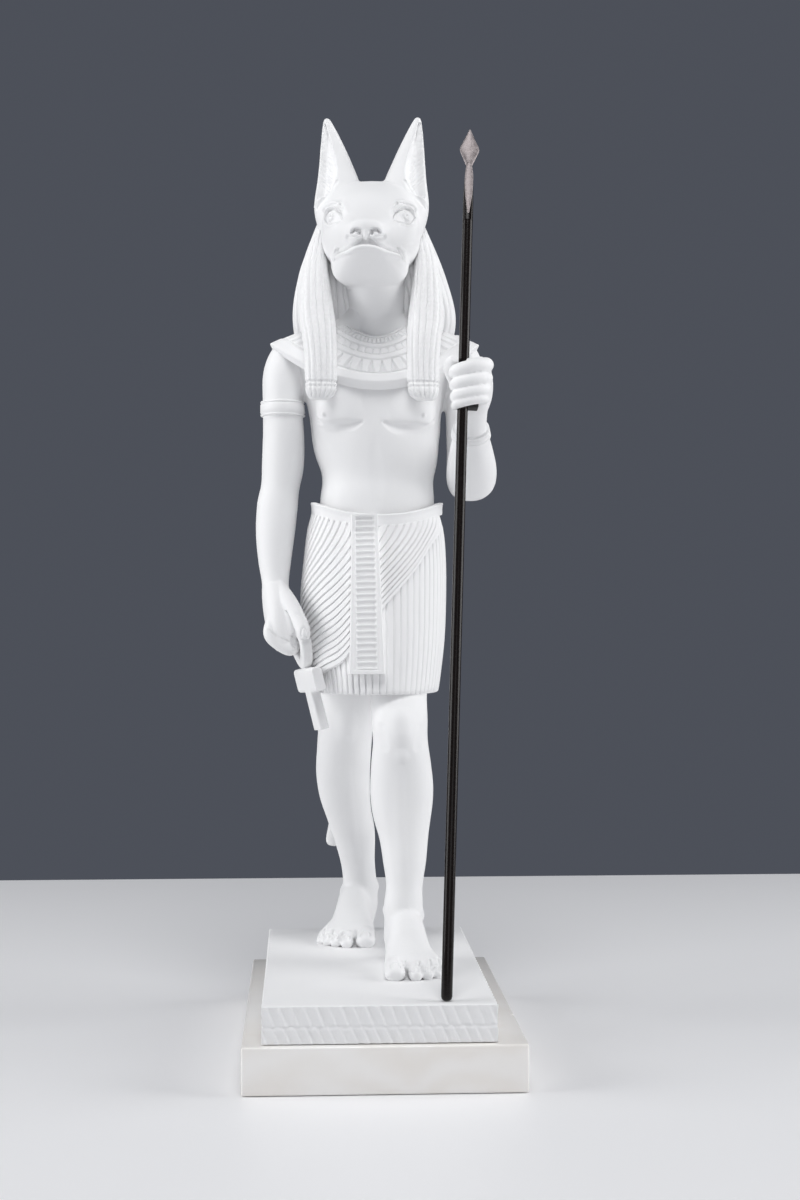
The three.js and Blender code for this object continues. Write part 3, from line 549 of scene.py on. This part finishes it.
def apron():
    """The flat panel hanging from the belt: a plain frame round a ladder of short cuts."""
    top, foot = 223.2, 155.6
    across = np.linspace(-1, 1, 45)
    rings = []
    for v in np.linspace(0, 1, 350):
        half, height = mix(7.6, 5.6, v ** 0.8), mix(foot, top, v)
        front = on_kilt(-pi / 2, min(height, 216))[1]
        inside = ease(half - np.abs(across) * half, 1.5, 1.9) * ease(v, 0.02, 0.026) * (1 - ease(v, 0.985, 0.99))
        stroke = (v * 26 + 0.1 * across ** 2 - 0.08 * across) % 1
        groove = ease(stroke, 0, 0.1) * (1 - ease(stroke, 0.4, 0.95)) * (1 - ease(np.abs(across) * half, 3.9, 4.4))
        depth = -4.0 + (0.3 + 0.8 * groove) * inside + 0.5 * ease(np.abs(across), 0.95, 1) ** 2 + 0.6 * (v < 0.002)
        x = -4.4 - 0.6 * v + across * half
        face = places(x, front + depth, height)
        right, left = [places(x[end], mix(face[end, 1], front + 4, np.linspace(0, 1, 8)[1:]), height) for end in (-1, 0)]
        rings.append(np.vstack([face, right, left[::-1]]))
    return skin(rings)


# ---------------------------------------------------------------- collar and bands


def collar_depth(turn, t):
    """How far the collar's rows of beads and petals are cut back, from the neck at 0 to the rim at 1."""
    cut = np.zeros_like(turn)

    def row(low, high):
        return ease(t, low - 0.008, low + 0.008) * (1 - ease(t, high - 0.008, high + 0.008))

    for low, high, count in ((0.05, 0.15, 60), (0.28, 0.385, 46)):
        gap = 1 - rounded(turn * count, 0.35)
        cut += row(low, high) * (0.15 + 0.75 * gap)
    for line in (0.035, 0.165, 0.265, 0.4, 0.515, 0.8):
        cut += 0.55 * (1 - ease(np.abs(t - line), 0.006, 0.016))
    side = np.abs((turn * 46) % 1 - 0.5)
    half_gap = 0.06 + 0.2 * np.clip((t - 0.56) / 0.2, 0, 1)
    cut += row(0.55, 0.78) * 0.9 * ease(half_gap - (0.5 - side), -0.05, 0.05)
    return cut


def collar():
    angle = turns(720)
    c2, s = np.cos(angle) ** 2, np.sin(angle)
    rim = 278.6 + 19 * c2 + np.where(s > 0, 8 * s * s, 0)
    throat = 307 - np.where(s < 0, 7.5 * s * s, 0)
    rings = []
    for t in (1.0, 1.0, *np.linspace(1, 0, 98), 0):
        proud = -2.4 if not rings else 1.25 + 0.35 * ease(t, 0.82, 0.86) - collar_depth(angle / (2 * pi), t)
        if t in (0, 1) and rings:
            proud = proud - 0.5
        if len(rings) == 99:
            proud = -1.5
        x, y = ovals(angle, mix(13.6, 45.4, t) + proud * 0.4, mix(11, 22.4, t ** 0.8) + proud, mix(12, 22, t ** 0.8) + proud)
        arch = 1.5 * sin(pi * t) * np.abs(np.cos(angle))
        rings.append(places(0.3 + x, 28 + y - 3 * (1 - t), mix(throat, rim, t) + arch + proud * 0.8))
    return skin(rings)


def band(stations, low, high, proud):
    """A flat ring round an arm, with a fine line along each edge."""
    rows = smooth_rows(stations, 6)
    rows = rows[rows[:, 2].argsort()]
    turn, section = np.meshgrid(np.linspace(0, 2 * pi, 97), np.linspace(0, 2 * pi, 49))
    out, up = ovals(section, proud, (high - low) / 2, (high - low) / 2, 6)
    height = (low + high) / 2 + up
    x, y, half, front, back = [np.interp(height, rows[:, 2], rows[:, n]) for n in (0, 1, 3, 4, 5)]
    line = 0.35 * (1 - ease(np.abs(np.abs(up) / (high - low) - 0.34), 0.02, 0.06))
    p, q = ovals(turn, half + out - line, front + out - line, back + out - line)
    return hoop(places(x + p, y + q, height))


def wristband():
    """The bracelet round the left wrist, at right angles to the forearm."""
    stations = [filled(row) for row in LEFT_FOREARM]
    rows = smooth_rows(stations, 8)
    angle = turns(64)
    rings = []
    for share, proud in ((0, -1), (0.02, 0.5), (0.06, 0.95), (0.2, 1), (0.26, 0.6), (0.32, 1), (0.66, 1), (0.72, 0.6),
                         (0.78, 1), (0.94, 0.95), (0.98, 0.5), (1, -1)):
        key = mix(29.2, 33.2, share)
        row = np.array([np.interp(key, np.arange(len(rows)), column) for column in rows.T])
        way = Vector(rows[34][:3] - rows[28][:3]).normalized()
        across = (SIDE - way * SIDE.dot(way)).normalized()
        x, y = ovals(angle, row[3] + proud, row[4] + proud, row[5] + proud)
        rings.append(row[:3] + np.outer(x, across) + np.outer(y, way.cross(across)))
    return skin(rings)


# ---------------------------------------------------------------- wig

WIG_BACK = Table([
    (288, 0.4, 40, 28.4, 6, 9.5), (298, 0.4, 39, 34, 10, 11.8), (312, 0.4, 36, 36.2, 14, 15.4),
    (328, -0.6, 33, 33, 13, 17.6), (344, -1.2, 30.4, 27, 8, 18), (358, -1.6, 29.8, 20, 6.8, 15),
    (368, -1.6, 29, 8, 4, 7),
])
LAPPET = Table([
    (271.9, 21, 27.6, 3, 4.6), (274, 18, 29.6, 1.4, 7.4), (278, 16.6, 30.4, 1, 9),
    (290, 16.6, 30.6, 2.4, 11), (301, 16.8, 31.8, 4.8, 13), (308, 17.4, 32.8, 7.2, 15),
    (322, 19.2, 32.4, 11.6, 15), (338, 20.8, 29.6, 16.6, 14), (354, 20, 23.6, 23, 8),
])


def locks(phase, height, twist):
    """How far the surface falls back between the locks, with fine cross cuts for their twist."""
    groove = 1 - rounded(phase, 0.45)
    cross = 1 - rounded(height / 2.1 + 0.3 * np.sin(2 * pi * phase), 0.7)
    return -0.8 * groove - twist * cross * (1 - groove)


def wig_back():
    rings = []
    for z in np.linspace(288, 367.6, 120):
        x, y, half, front, back = WIG_BACK(z)
        p, q = ovals(turns(220), half, front, back, 2.2)
        ring = evenly(places(x + p, y + q, z), 416)
        rings.append(outwards(ring, locks(np.arange(416) / 416 * 52, z, 0) * ease(368 - z, 1, 10)))
    return skin(rings)


def lappet(side, shift):
    """The hair in front of a shoulder, tied near its end."""
    rings = []
    for z in np.linspace(272.0, 353.6, 226):
        inner, outer, front, thick = LAPPET(z)
        half = (outer - inner) / 2
        p, q = ovals(turns(120), half, thick / 2, thick / 2, 3.2)
        ring = evenly(places(side * (inner + outer) / 2 + p + shift, front + thick / 2 + q, z), 160)
        deep = locks(np.arange(160) / 160 * 18 + 0.5, z, 0.24) * ease(z, 272, 274)
        deep = deep - 0.5 * (1 - ease(abs(z - 279.5), 0.3, 0.8)) - 0.35 * (1 - ease(abs(z - 277.6), 0.3, 0.7))
        rings.append(outwards(ring, deep))
    return skin(rings)


# ---------------------------------------------------------------- head

HEAD_PLACE = Matrix.Translation((-1.6, 20, 346)) @ Euler((radians(-8), 0, radians(-5.5))).to_matrix().to_4x4()
SKULL = [
    # y, height of the middle, half width, down, up, squareness below and above
    (-38.6, -12, 3.4, 2.6, 2.8, 2.4, 2.4), (-37.4, -11.8, 6.6, 4.2, 4.4, 2.6, 2.6), (-33, -11.2, 9.6, 5.2, 6.2, 2.8, 2.5),
    (-26, -9.6, 12.6, 7.4, 9.4, 2.7, 2.3), (-19, -7.6, 16.2, 10, 14.2, 2.5, 2.3), (-12, -5, 19.6, 14, 19.8, 2.3, 2.4),
    (-4, -3, 21.2, 17, 24, 2.2, 2.7), (4, -2, 21, 17, 26, 2.2, 2.9), (13, 0, 18.4, 16, 23.4, 2.1, 2.6),
    (24, 2, 9, 9, 10, 2, 2),
]
JAW = [
    (-35.4, -17, 3.6, 1.8, 1.4, 2.6, 2.4), (-34, -17.2, 6.6, 3, 2.2, 3.2, 2.4), (-29, -17.4, 9.6, 4.6, 3, 3.6, 2.4),
    (-22, -17.2, 12.6, 6.4, 4, 3.6, 2.4), (-15, -16, 15.2, 8.8, 6, 3.4, 2.3), (-7, -14, 16.8, 11.8, 8, 3, 2.2),
    (2, -11, 15.4, 13, 8, 2.6, 2.1), (10, -8, 11, 9, 6, 2, 2),
]
NECK = [
    (1.9, 13.3, -44.6, 12.6, 12, 12), (1.9, 11.3, -33.8, 12.2, 11.6, 12), (1.8, 7, -24, 12.8, 12.4, 12.5),
    (1, 3, -12, 13, 13, 13),
]


def along_head(rows):
    return limb([(0, y, z, half, down, up, below, above) for y, z, half, down, up, below, above in reversed(rows)], 48, 5)


def ear(side):
    return limb([
        (side * 15.4, 2.4, -1, 6.5, 7, 9, 2.2), (side * 15.6, 0.8, 10, 9.4, 8, 10, 2.2), (side * 14.6, 1.4, 20, 9.8, 7.6, 10, 2.2),
        (side * 16, 2.6, 31, 7.6, 6, 7.4), (side * 18, 2.2, 42, 4.8, 4.3, 4.8), (side * 19.6, 1.2, 50, 2.4, 2.4, 2.6),
        (side * 20.2, 1, 53.2, 1.1, 1.2, 1.2),
    ], 40, 6)


def head():
    pad = ball(0, -36.4, -9.8, 6.9, 3.4, 3.8)
    wings = [ball(s * 5, -36, -10.8, 2.6, 3.2, 2.6) for s in (-1, 1)]
    brows = [ball(s * 14.8, -12, 6, 5.6, 4.4, 3.4) for s in (-1, 1)]
    shapes = [along_head(SKULL), along_head(JAW), limb(NECK, 40), ear(-1), ear(1), pad, *wings, *brows]
    mesh = chiselled(melted(melted(gathered(shapes), 0.6, 11), 0.36, 2), mouth_strokes())
    for side in (-1, 1):
        mesh = chiselled(mesh, eye_forms(side) + ear_forms(side))
        mesh = chiselled(mesh, eye_lines(side) + ear_lines(side))
    mesh = thinned(mesh, 160000)
    mesh.transform(HEAD_PLACE)
    return mesh


def mirrored(side, path):
    return [(side * point[0], *point[1:]) for point in path]


def mouth_strokes():
    line = [(0, -35.8, -16.4), (4, -35.2, -16.9), (7.5, -31.5, -17.4), (10, -27.4, -16.9), (12.7, -20, -15.8),
            (14.2, -16.2, -17.2, 0.7)]
    lip = [(x, y, z - 1.7) for x, y, z, *_ in line[:-1]]
    strokes = [(mirrored(-1, path)[:0:-1] + path, *cut) for path, *cut in ((line, 1.0, -2.3, 3), (lip, 1.5, 1.0))]
    for s in (-1, 1):
        strokes.append((mirrored(s, [(11.8, -21.4, -13.8, 0.5), (14.2, -15.8, -14.8), (15, -13.3, -17.4, 0.5)]), 0.9, -1.2))
        strokes.append((mirrored(s, [(12.6, -19.6, -12.4), (15.6, -13.4, -14)]), 1.5, 0.6))
        strokes.append((mirrored(s, [(7.4, -34.4, -13.6), (4.4, -36.2, -14.8), (1.6, -36.2, -15.8)]), 1.6, -1.3))
        strokes.append((mirrored(s, [(2.7, -38.2, -13.6, 0.7), (3, -38.5, -12.3), (4.6, -38.3, -12), (5.8, -37.4, -12.8, 0.6)]),
                        1.2, -2.5))
        strokes.append((mirrored(s, [(2.1, -38.6, -11.8), (1.4, -37.7, -14.4), (0.8, -36.3, -15.8)]), 0.65, -0.9))
    strokes.append(([(0, -38.6, -12.4), (0, -37.4, -14.8)], 0.9, 0.4))
    return strokes


def eye_forms(side):
    """The eye's hollow, its ball, and the fold of skin over it."""
    return [
        (mirrored(side, [(12.4, -23.6, -1), (15.6, -18.6, 0.8), (18.8, -13.6, 2.4)]), 5.4, -0.9),
        (mirrored(side, [(15.8, -18.4, 0.9)]), 3.8, 1.3),
        (mirrored(side, [(12.6, -20.6, 6.4), (15, -17.4, 8), (17.4, -14.4, 8.6), (19.6, -11.6, 7)]), 1.8, 0.8),
        (mirrored(side, [(9.6, -26.6, 1.6), (10.4, -23.6, 5)]), 2.2, 0.35),
    ]


def eye_lines(side):
    corner, end = (11, -26, -3.4, 0.6), (20, -11, 3.2, 0.6)
    upper = [corner, (12.6, -22.4, 1.6), (14.6, -19.6, 4), (16.8, -16.4, 4.9), (18.6, -13.8, 4.3), end]
    lower = [corner, (13.4, -23, -2.9), (15.6, -20, -2.7), (17.6, -16.6, -1.3), (19.4, -12.8, 0.9), end]
    ring = [(15.8 + 0.9 * cos(a), -18.5 + 1.5 * cos(a) - 0.3 * sin(a), 0.9 + 0.6 * cos(a) + 1.8 * sin(a))
            for a in np.linspace(0, 2 * pi, 13)]
    return [
        (mirrored(side, upper), 0.7, -1.4, 3), (mirrored(side, lower), 0.62, -1.1, 3),
        (mirrored(side, [(x - 0.1, y, z + 1.1, *w) for x, y, z, *w in upper[1:-1]]), 0.85, 0.75),
        (mirrored(side, [(x, y, z - 0.9, *w) for x, y, z, *w in lower[1:-1]]), 0.8, 0.45),
        (mirrored(side, ring), 0.45, -0.6), (mirrored(side, [(15.8, -18.5, 0.9)]), 1.0, -1.0),
        (mirrored(side, [(12, -21, 6, 0.6), (14.4, -17.8, 6.9), (17, -15, 7.2), (18.9, -12.8, 6.2), (20, -11.4, 4.9, 0.6)]), 0.6, -0.65),
        (mirrored(side, [(12.2, -20.9, 5.6), (10.9, -22.9, 3.2), (11.5, -23.4, 1.4, 0.6)]), 0.55, -0.65),
    ]


def ear_forms(side):
    """The hollow of an ear and the fold that runs down from it to the temple."""
    hollow = [(21.6, -4, 16.4, 0.5), (20, -4.6, 20, 0.9), (19.8, -4, 26), (20, -3, 32, 0.85), (20.6, -1.6, 39, 0.62),
              (21, -0.6, 45, 0.42), (20.8, 0, 49.5, 0.2)]
    return [
        (mirrored(side, hollow), 5.4, -2.9, 5),
        (mirrored(side, [(14.6, -6.6, 22, 0.5), (17, -7, 17.6), (20.4, -6, 13.4), (22.8, -3, 10, 0.5)]), 1.5, -0.6),
        (mirrored(side, [(15.6, -6.6, 22.6, 0.4), (18, -6.4, 18.8), (21.2, -5, 14.8), (23.6, -2, 11.4, 0.4)]), 1.6, 0.6),
    ]


def ear_lines(side):
    """Fine hair cuts down into the hollow."""
    return [(mirrored(side, [(23.6, 1.4, z + 3, 0.5), (20.8, -1, z), (16.6 + 0.06 * (z - 18), -4, z - 4.6, 0.5)]), 0.5, -0.36)
            for z in np.arange(21, 47, 2.6)]


# ---------------------------------------------------------------- ankh


def ankh():
    """A cross with a loop above its bar, held by the loop."""
    turn = Matrix.Translation((-28.4, 12, 152.4)) @ Euler((0, radians(-14), 0)).to_matrix().to_4x4()
    turn = turn @ Euler((0, 0, radians(106))).to_matrix().to_4x4()
    stem = limb([(0, 0, -20.75, 4.9, 2.2, 2.2, 5), (0, 0, -20.2, 5, 2.4, 2.4, 5), (0, 0, 0, 4.3, 2.4, 2.4, 5)], 48, 3)
    bar = limb([(-13, 0, 0, 5, 2.2, 2.2, 5), (-12.4, 0, 0, 5.2, 2.4, 2.4, 5), (12.4, 0, 0, 5.2, 2.4, 2.4, 5),
                (13, 0, 0, 5, 2.2, 2.2, 5)], 48, 3, UP)
    go, section = np.meshgrid(np.linspace(0, 2 * pi, 91), np.linspace(0, 2 * pi, 25))
    p, q = ovals(section, 2.5, 2.4, 2.4, 4)
    x = 8.8 * np.sin(go) * (1.12 - 0.28 * np.cos(go)) + np.sin(go) * (p - 2.4)
    z = 5.25 + 9.6 * (1 - np.cos(go)) - np.cos(go) * (p - 2.4)
    loop = hoop(places(x, -q, z))
    mesh = thinned(melted(gathered([stem, bar, loop]), 0.35, 2), 40000)
    mesh.transform(turn)
    return mesh


# ---------------------------------------------------------------- plinth, block and spear

PLINTH_WIDTH, PLINTH_DEPTH, PLINTH_LOW = 90.0, 163.0, 18.7


def chisel_cut(run, height):
    """How deep the chisel went on the plinth's edge; run goes round it, height from 0 to 1."""
    deep = 0.0
    for low, high, pitch, lean, first in ((0.44, 1.02, 4.7, 3.4, 0.0), (-0.02, 0.44, 4.3, 3.0, 2.2)):
        part = (height - low) / (high - low)
        if not 0 < part < 1:
            continue
        phase = (run + lean * part + first) / pitch
        number = math.floor(phase + 0.22 * noise.noise(Vector((math.floor(phase) * 1.7, first, 5))))
        saw = phase - number
        strength = 0.75 + 0.5 * noise.noise(Vector((number * 2.3, first, 1)))
        side = min(max(saw / 0.2, 0), 1) * (1 - min(max((saw - 0.2) / 0.75, 0), 1))
        deep = max(deep, strength * side * math.sin(pi * min(max(part * 0.86 + 0.1, 0), 1)) ** 0.5)
    seam = 1 - min(abs(height - 0.44 - 0.03 * noise.noise(Vector((run * 0.3, 0, 2)))) / 0.06, 1)
    return 1.0 * deep + 0.45 * seam + 0.16 * noise.noise(Vector((run * 0.7, height * 5, 3)))


def plinth():
    """The rough-cut slab: its outline is walked round, and each place on the edge is cut back."""
    ring = []
    for corner, way, length in (((-0.5, -0.5), (1, 0), PLINTH_WIDTH), ((0.5, -0.5), (0, 1), PLINTH_DEPTH),
                                ((0.5, 0.5), (-1, 0), PLINTH_WIDTH), ((-0.5, 0.5), (0, -1), PLINTH_DEPTH)):
        start = np.array([corner[0] * PLINTH_WIDTH, corner[1] * PLINTH_DEPTH, 0])
        steps = np.linspace(0, length, int(length / 0.42), endpoint=False)
        ring.append(start + np.outer(steps, (*way, 0)))
    ring = np.vstack(ring)
    run = np.concatenate([[0], np.cumsum(np.linalg.norm(np.diff(ring, axis=0), axis=1))])
    shift = np.array([-2.0, -0.2, 0])
    rings = [ring * (0.9, 0.9, 1) + shift + (0, 0, PLINTH_LOW)]
    for height in (0, 0.02, *np.linspace(0.05, 0.95, 36), 0.98, 1):
        cut = np.array([chisel_cut(r, height) for r in run]) + 0.5 * (height in (0, 1))
        here = outwards(ring, -0.9 * np.maximum(cut, 0) - 0.1)
        rings.append(here + shift + (0, 0, mix(PLINTH_LOW, PLINTH_TOP, height)))
    for inward in (0.985, 0.95, 0.8, 0.6, 0.4, 0.2, 0.05):
        rings.append(ring * (inward, inward, 1) + shift + (0, 0, PLINTH_TOP + 0.05))
    return skin(rings)


def block():
    shape = bmesh.new()
    bmesh.ops.create_cube(shape, size=1, matrix=Matrix.Translation((0, 0, 9.2)) @ Matrix.Diagonal((109, 168, 18.4, 1)))
    bmesh.ops.bevel(shape, geom=shape.edges[:], offset=0.9, segments=4, profile=0.5, affect="EDGES", material=-1)
    return shape


ROD_FOOT = Vector((23.6, -76.4, 33.5))
ROD_TIP = Vector((39.7, 0, 386.6))
ROD_WAY = (ROD_TIP - ROD_FOOT).normalized()
ROD_PLACE = Matrix.Translation(ROD_FOOT) @ UP.rotation_difference(ROD_WAY).to_matrix().to_4x4()
HEAD_LENGTH = 17.0
NECK_AT = (ROD_TIP - ROD_FOOT).length - HEAD_LENGTH


def rod():
    """The rod: a rounded foot, a long shaft, and a flattened end under the spearhead."""
    angle = turns(36)
    rings = []
    for at, radius, flat in ((0, 0.7, 0), (0.2, 1.3, 0), (0.7, 1.9, 0), (1.7, 2.2, 0), *((h, 2.2, 0) for h in range(20, 340, 20)),
                             (NECK_AT - 25, 2.2, 0), (NECK_AT - 16, 2.2, 0.5), (NECK_AT - 7, 1.9, 0.8),
                             (NECK_AT - 1, 1.4, 0.7), (NECK_AT + 1.4, 1.2, 0.4)):
        x, y = radius * np.cos(angle), radius * np.sin(angle)
        y = np.maximum(y, -radius + flat)
        rings.append(places(x, y, at))
    shape = skin(rings)
    shape.transform(ROD_PLACE)
    return shape


def spearhead():
    """The flattened, kite-shaped head with a low ridge along its middle."""
    rows = Table([(0.3, 1.3, 0.8), (3.5, 2.6, 0.9), (7.8, 4.1, 0.8), (12, 2.4, 0.6), (17, 0.2, 0.12)], 4)
    angle = turns(48)
    rings = []
    for at in np.linspace(0.3, 17, 60):
        half, thick = rows(at)
        x, y = ovals(angle, half, thick, thick, 1.6)
        rings.append(places(x, y, at + NECK_AT))
    shape = skin(rings)
    shape.transform(ROD_PLACE)
    return shape


def bare_facet():
    """The strip on the flattened end of the rod where the lacquer is filed away."""
    strip = limb([(0, -2.0, NECK_AT - 22, 0.3, 0.25), (0, -1.5, NECK_AT - 13, 1.5, 0.3), (0, -1.0, NECK_AT - 5, 1.75, 0.4),
                  (0, -0.7, NECK_AT + 1, 1.1, 0.5)], 20, 6)
    strip.transform(ROD_PLACE)
    return strip


def grip():
    """The small near-black block beside the rod, under the fist: painted shade standing in for the dark hollow of the
    fist's grip hole.
    """
    shape = bmesh.new()
    bmesh.ops.create_cube(shape, size=1, matrix=Matrix.Diagonal((5.2, 5.2, 5.5, 1)))
    bmesh.ops.bevel(shape, geom=shape.edges[:], offset=0.5, segments=3, profile=0.5, affect="EDGES", material=-1)
    distance = (268.4 - ROD_FOOT.z) / ROD_WAY.z
    shape.transform(ROD_PLACE @ Matrix.Translation((3.9, 1.6, distance)))
    return shape


# ---------------------------------------------------------------- finishes


class Shade:
    """A shader socket that sums and multiplies like a number."""

    def __init__(self, paint, socket):
        self.paint, self.socket = paint, socket

    def _with(self, other, operation, swapped=False):
        pair = (other, self) if swapped else (self, other)
        return self.paint.node("ShaderNodeMath", {"operation": operation}, {0: pair[0], 1: pair[1]})

    def __add__(self, other):
        return self._with(other, "ADD")

    def __radd__(self, other):
        return self._with(other, "ADD", True)

    def __sub__(self, other):
        return self._with(other, "SUBTRACT")

    def __rsub__(self, other):
        return self._with(other, "SUBTRACT", True)

    def __mul__(self, other):
        return self._with(other, "MULTIPLY")

    def __rmul__(self, other):
        return self._with(other, "MULTIPLY", True)


class Paint:
    """A material under way: its nodes, and the main shader that they feed."""

    def __init__(self, name, **constants):
        self.material = bpy.data.materials.new(name)
        self.material.use_nodes = True
        self.tree = self.material.node_tree
        self.shader = self.tree.nodes["Principled BSDF"]
        for socket, value in constants.items():
            self.shader.inputs[socket.replace("_", " ")].default_value = value
        self.where = self.node("ShaderNodeTexCoord", {}, {}, "Object")

    def node(self, kind, settings, inputs, output=0):
        node = self.tree.nodes.new(kind)
        for name, value in settings.items():
            if name == "stops":
                ramp = node.color_ramp
                while len(ramp.elements) < len(value):
                    ramp.elements.new(1.0)
                for element, (position, colour) in zip(ramp.elements, value):
                    element.position = position
                    element.color = (*colour, 1)
            else:
                setattr(node, name, value)
        for key, value in inputs.items():
            if isinstance(value, Shade):
                self.tree.links.new(value.socket, node.inputs[key])
            else:
                node.inputs[key].default_value = value
        return Shade(self, node.outputs[output])

    def noise(self, scale, detail=4.0, output="Fac"):
        return self.node("ShaderNodeTexNoise", {}, {"Vector": self.where, "Scale": scale, "Detail": detail}, output)

    def blend(self, factor, one, other):
        return self.node("ShaderNodeMix", {"data_type": "RGBA"}, {0: factor, 6: one, 7: other}, 2)

    def bump(self, height, distance, strength=1.0):
        normal = self.node("ShaderNodeBump", {}, {"Height": height, "Distance": distance, "Strength": strength})
        self.feed("Normal", normal)

    def feed(self, socket, value):
        self.tree.links.new(value.socket, self.shader.inputs[socket])


def cast_marble():
    paint = Paint("cast_marble", IOR=1.5)
    cloud = paint.noise(60, 3)
    grain = paint.noise(2600, 3)
    paint.feed("Base Color", paint.blend(cloud * 0.5 + grain * 0.4, (0.86, 0.86, 0.87, 1), (0.91, 0.91, 0.905, 1)))
    paint.feed("Roughness", 0.58 + 0.12 * cloud)
    paint.bump(grain * 0.6 + paint.noise(700, 4), 0.00008, 0.5)
    return paint.material


def polished_onyx():
    paint = Paint("polished_onyx", IOR=1.52, Coat_Weight=0.25)
    cloud = paint.noise(26, 5)
    vein = paint.node("ShaderNodeTexWave", {"wave_type": "BANDS", "bands_direction": "Z"},
                      {"Vector": paint.where, "Scale": 16.0, "Distortion": 9.0, "Detail": 3.0, "Detail Scale": 1.4}, "Fac")
    stone = paint.blend(cloud, (0.94, 0.935, 0.925, 1), (0.82, 0.77, 0.71, 1))
    paint.feed("Base Color", paint.blend(vein * 0.45, stone, (0.95, 0.945, 0.94, 1)))
    paint.feed("Roughness", 0.16 + 0.16 * cloud)
    paint.bump(paint.noise(120, 3), 0.0001, 0.2)
    return paint.material


def black_lacquer():
    paint = Paint("black_lacquer", Specular_IOR_Level=0.22)
    specks = paint.noise(900, 4)
    paint.feed("Base Color", paint.blend(specks, (0.003, 0.0025, 0.0025, 1), (0.012, 0.008, 0.007, 1)))
    paint.feed("Roughness", 0.14 + 0.16 * specks)
    paint.bump(paint.noise(500, 3), 0.0001, 0.25)
    return paint.material


def bare_metal():
    paint = Paint("bare_metal", Metallic=1.0)
    specks = paint.noise(900, 5)
    paint.feed("Base Color", paint.blend(specks, (0.15, 0.12, 0.12, 1), (0.52, 0.48, 0.48, 1)))
    paint.feed("Roughness", 0.42 + 0.3 * specks)
    paint.bump(specks, 0.0002, 0.5)
    return paint.material


def painted_shade_black():
    # Near-black matt colour, painted shade: it stands in for the dark hollow of the fist's grip hole beside the rod.
    paint = Paint("painted_shade_black")
    specks = paint.noise(1200, 3)
    paint.feed("Base Color", paint.blend(specks, (0.006, 0.006, 0.006, 1), (0.02, 0.02, 0.02, 1)))
    paint.feed("Roughness", 0.6 + 0.2 * specks)
    paint.bump(specks, 0.0001, 0.4)
    return paint.material


# ---------------------------------------------------------------- pieces


def piece(name, mesh, finish, node, sharp=40):
    """A finished piece in metres, on the one body, standing for its solid."""
    mesh.transform(Matrix.Scale(MM, 4))
    mesh.materials.clear()
    mesh.materials.append(finish)
    mesh.shade_smooth()
    mesh.set_sharp_from_angle(angle=radians(sharp))
    made = bpy.data.objects.new(name, mesh)
    bpy.context.collection.objects.link(made)
    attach(made, "root")
    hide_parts(node)
    return made


def camera():
    lens = bpy.data.cameras.new("camera")
    lens.lens = 54
    lens.sensor_width = 36
    lens.clip_start = 0.01
    lens.clip_end = 20
    seen = bpy.data.objects.new("camera", lens)
    seen.location = Vector((-31, -762.2, 186.7)) * MM
    seen.rotation_euler = (radians(90), 0, radians(-3.07))
    bpy.context.collection.objects.link(seen)
    bpy.context.scene.camera = seen


def lamp(name, place, target, size, power):
    light = bpy.data.lights.new(name, "AREA")
    light.shape = "DISK"
    light.size = size
    light.energy = power
    made = bpy.data.objects.new(name, light)
    made.location = place
    made.rotation_euler = (Vector(target) - Vector(place)).to_track_quat("-Z", "Y").to_euler()
    bpy.context.collection.objects.link(made)


def studio():
    shape = bmesh.new()
    bmesh.ops.create_grid(shape, x_segments=1, y_segments=1, size=1,
                          matrix=Matrix.Translation((0, -1.55, -0.0002)) @ Matrix.Diagonal((3, 2, 1, 1)))
    mesh = bpy.data.meshes.new("floor")
    shape.to_mesh(mesh)
    paint = Paint("pale_floor", Roughness=0.5)
    paint.feed("Base Color", paint.blend(paint.noise(3, 2), (0.88, 0.88, 0.89, 1), (0.9, 0.9, 0.91, 1)))
    mesh.materials.append(paint.material)
    floor = bpy.data.objects.new("floor", mesh)
    bpy.context.collection.objects.link(floor)
    world = bpy.data.worlds.new("backdrop")
    world.use_nodes = True
    world.node_tree.nodes["Background"].inputs["Color"].default_value = (0.074, 0.081, 0.1, 1)
    bpy.context.scene.world = world
    bpy.context.scene.view_settings.view_transform = "Standard"
    lamp("left_panel", (-1.15, -0.1, 0.55), (0, 0, 0.2), 0.9, 9)
    lamp("right_panel", (1.15, -0.1, 0.55), (0, 0, 0.2), 0.9, 9)
    lamp("high_panel", (0, -0.7, 1.35), (0, 0, 0.12), 0.7, 9)
    lamp("front_panel", (0.1, -1.7, 0.5), (0, 0, 0.12), 0.9, 2)


camera()
studio()

marble = cast_marble()
onyx = polished_onyx()
lacquer = black_lacquer()
steel = bare_metal()
# Painted shade: the near-black finish of the block that fills the dark hollow under the fist.
hollow_shade = painted_shade_black()

figure = "anubis_figure"
piece("torso_and_arms", upper_body(), marble, figure, 60)
piece("legs_and_feet", lower_body(), marble, figure, 60)
piece("jackal_head", head(), marble, figure, 60)
piece("kilt", gathered([kilt(), belt()]), marble, figure, 60)
piece("kilt_wrap", gathered([wrap()]), marble, figure, 60)
piece("apron", gathered([apron()]), marble, figure, 50)
piece("wig", gathered([wig_back()]), marble, figure, 60)
piece("lappets", gathered([lappet(-1, 0), lappet(1, -3.4)]), marble, figure, 60)
piece("collar", gathered([collar()]), marble, figure, 60)
piece("arm_bands", gathered([band(RIGHT_ARM, 267, 273.6, 1.1), wristband()]), marble, figure, 50)
piece("ankh", ankh(), marble, figure, 60)
piece("plinth", gathered([plinth()]), marble, figure, 50)
piece("onyx_block", gathered([block()]), onyx, "stone_base", 30)
piece("spear_rod", gathered([rod()]), lacquer, "spear", 40)
piece("spearhead", gathered([spearhead(), bare_facet()]), steel, "spear", 40)
# The grip block is painted shade: a near-black block put where the fist's grip hole shows dark.
piece("grip_block", gathered([grip()]), hollow_shade, "grip_sleeve", 40)
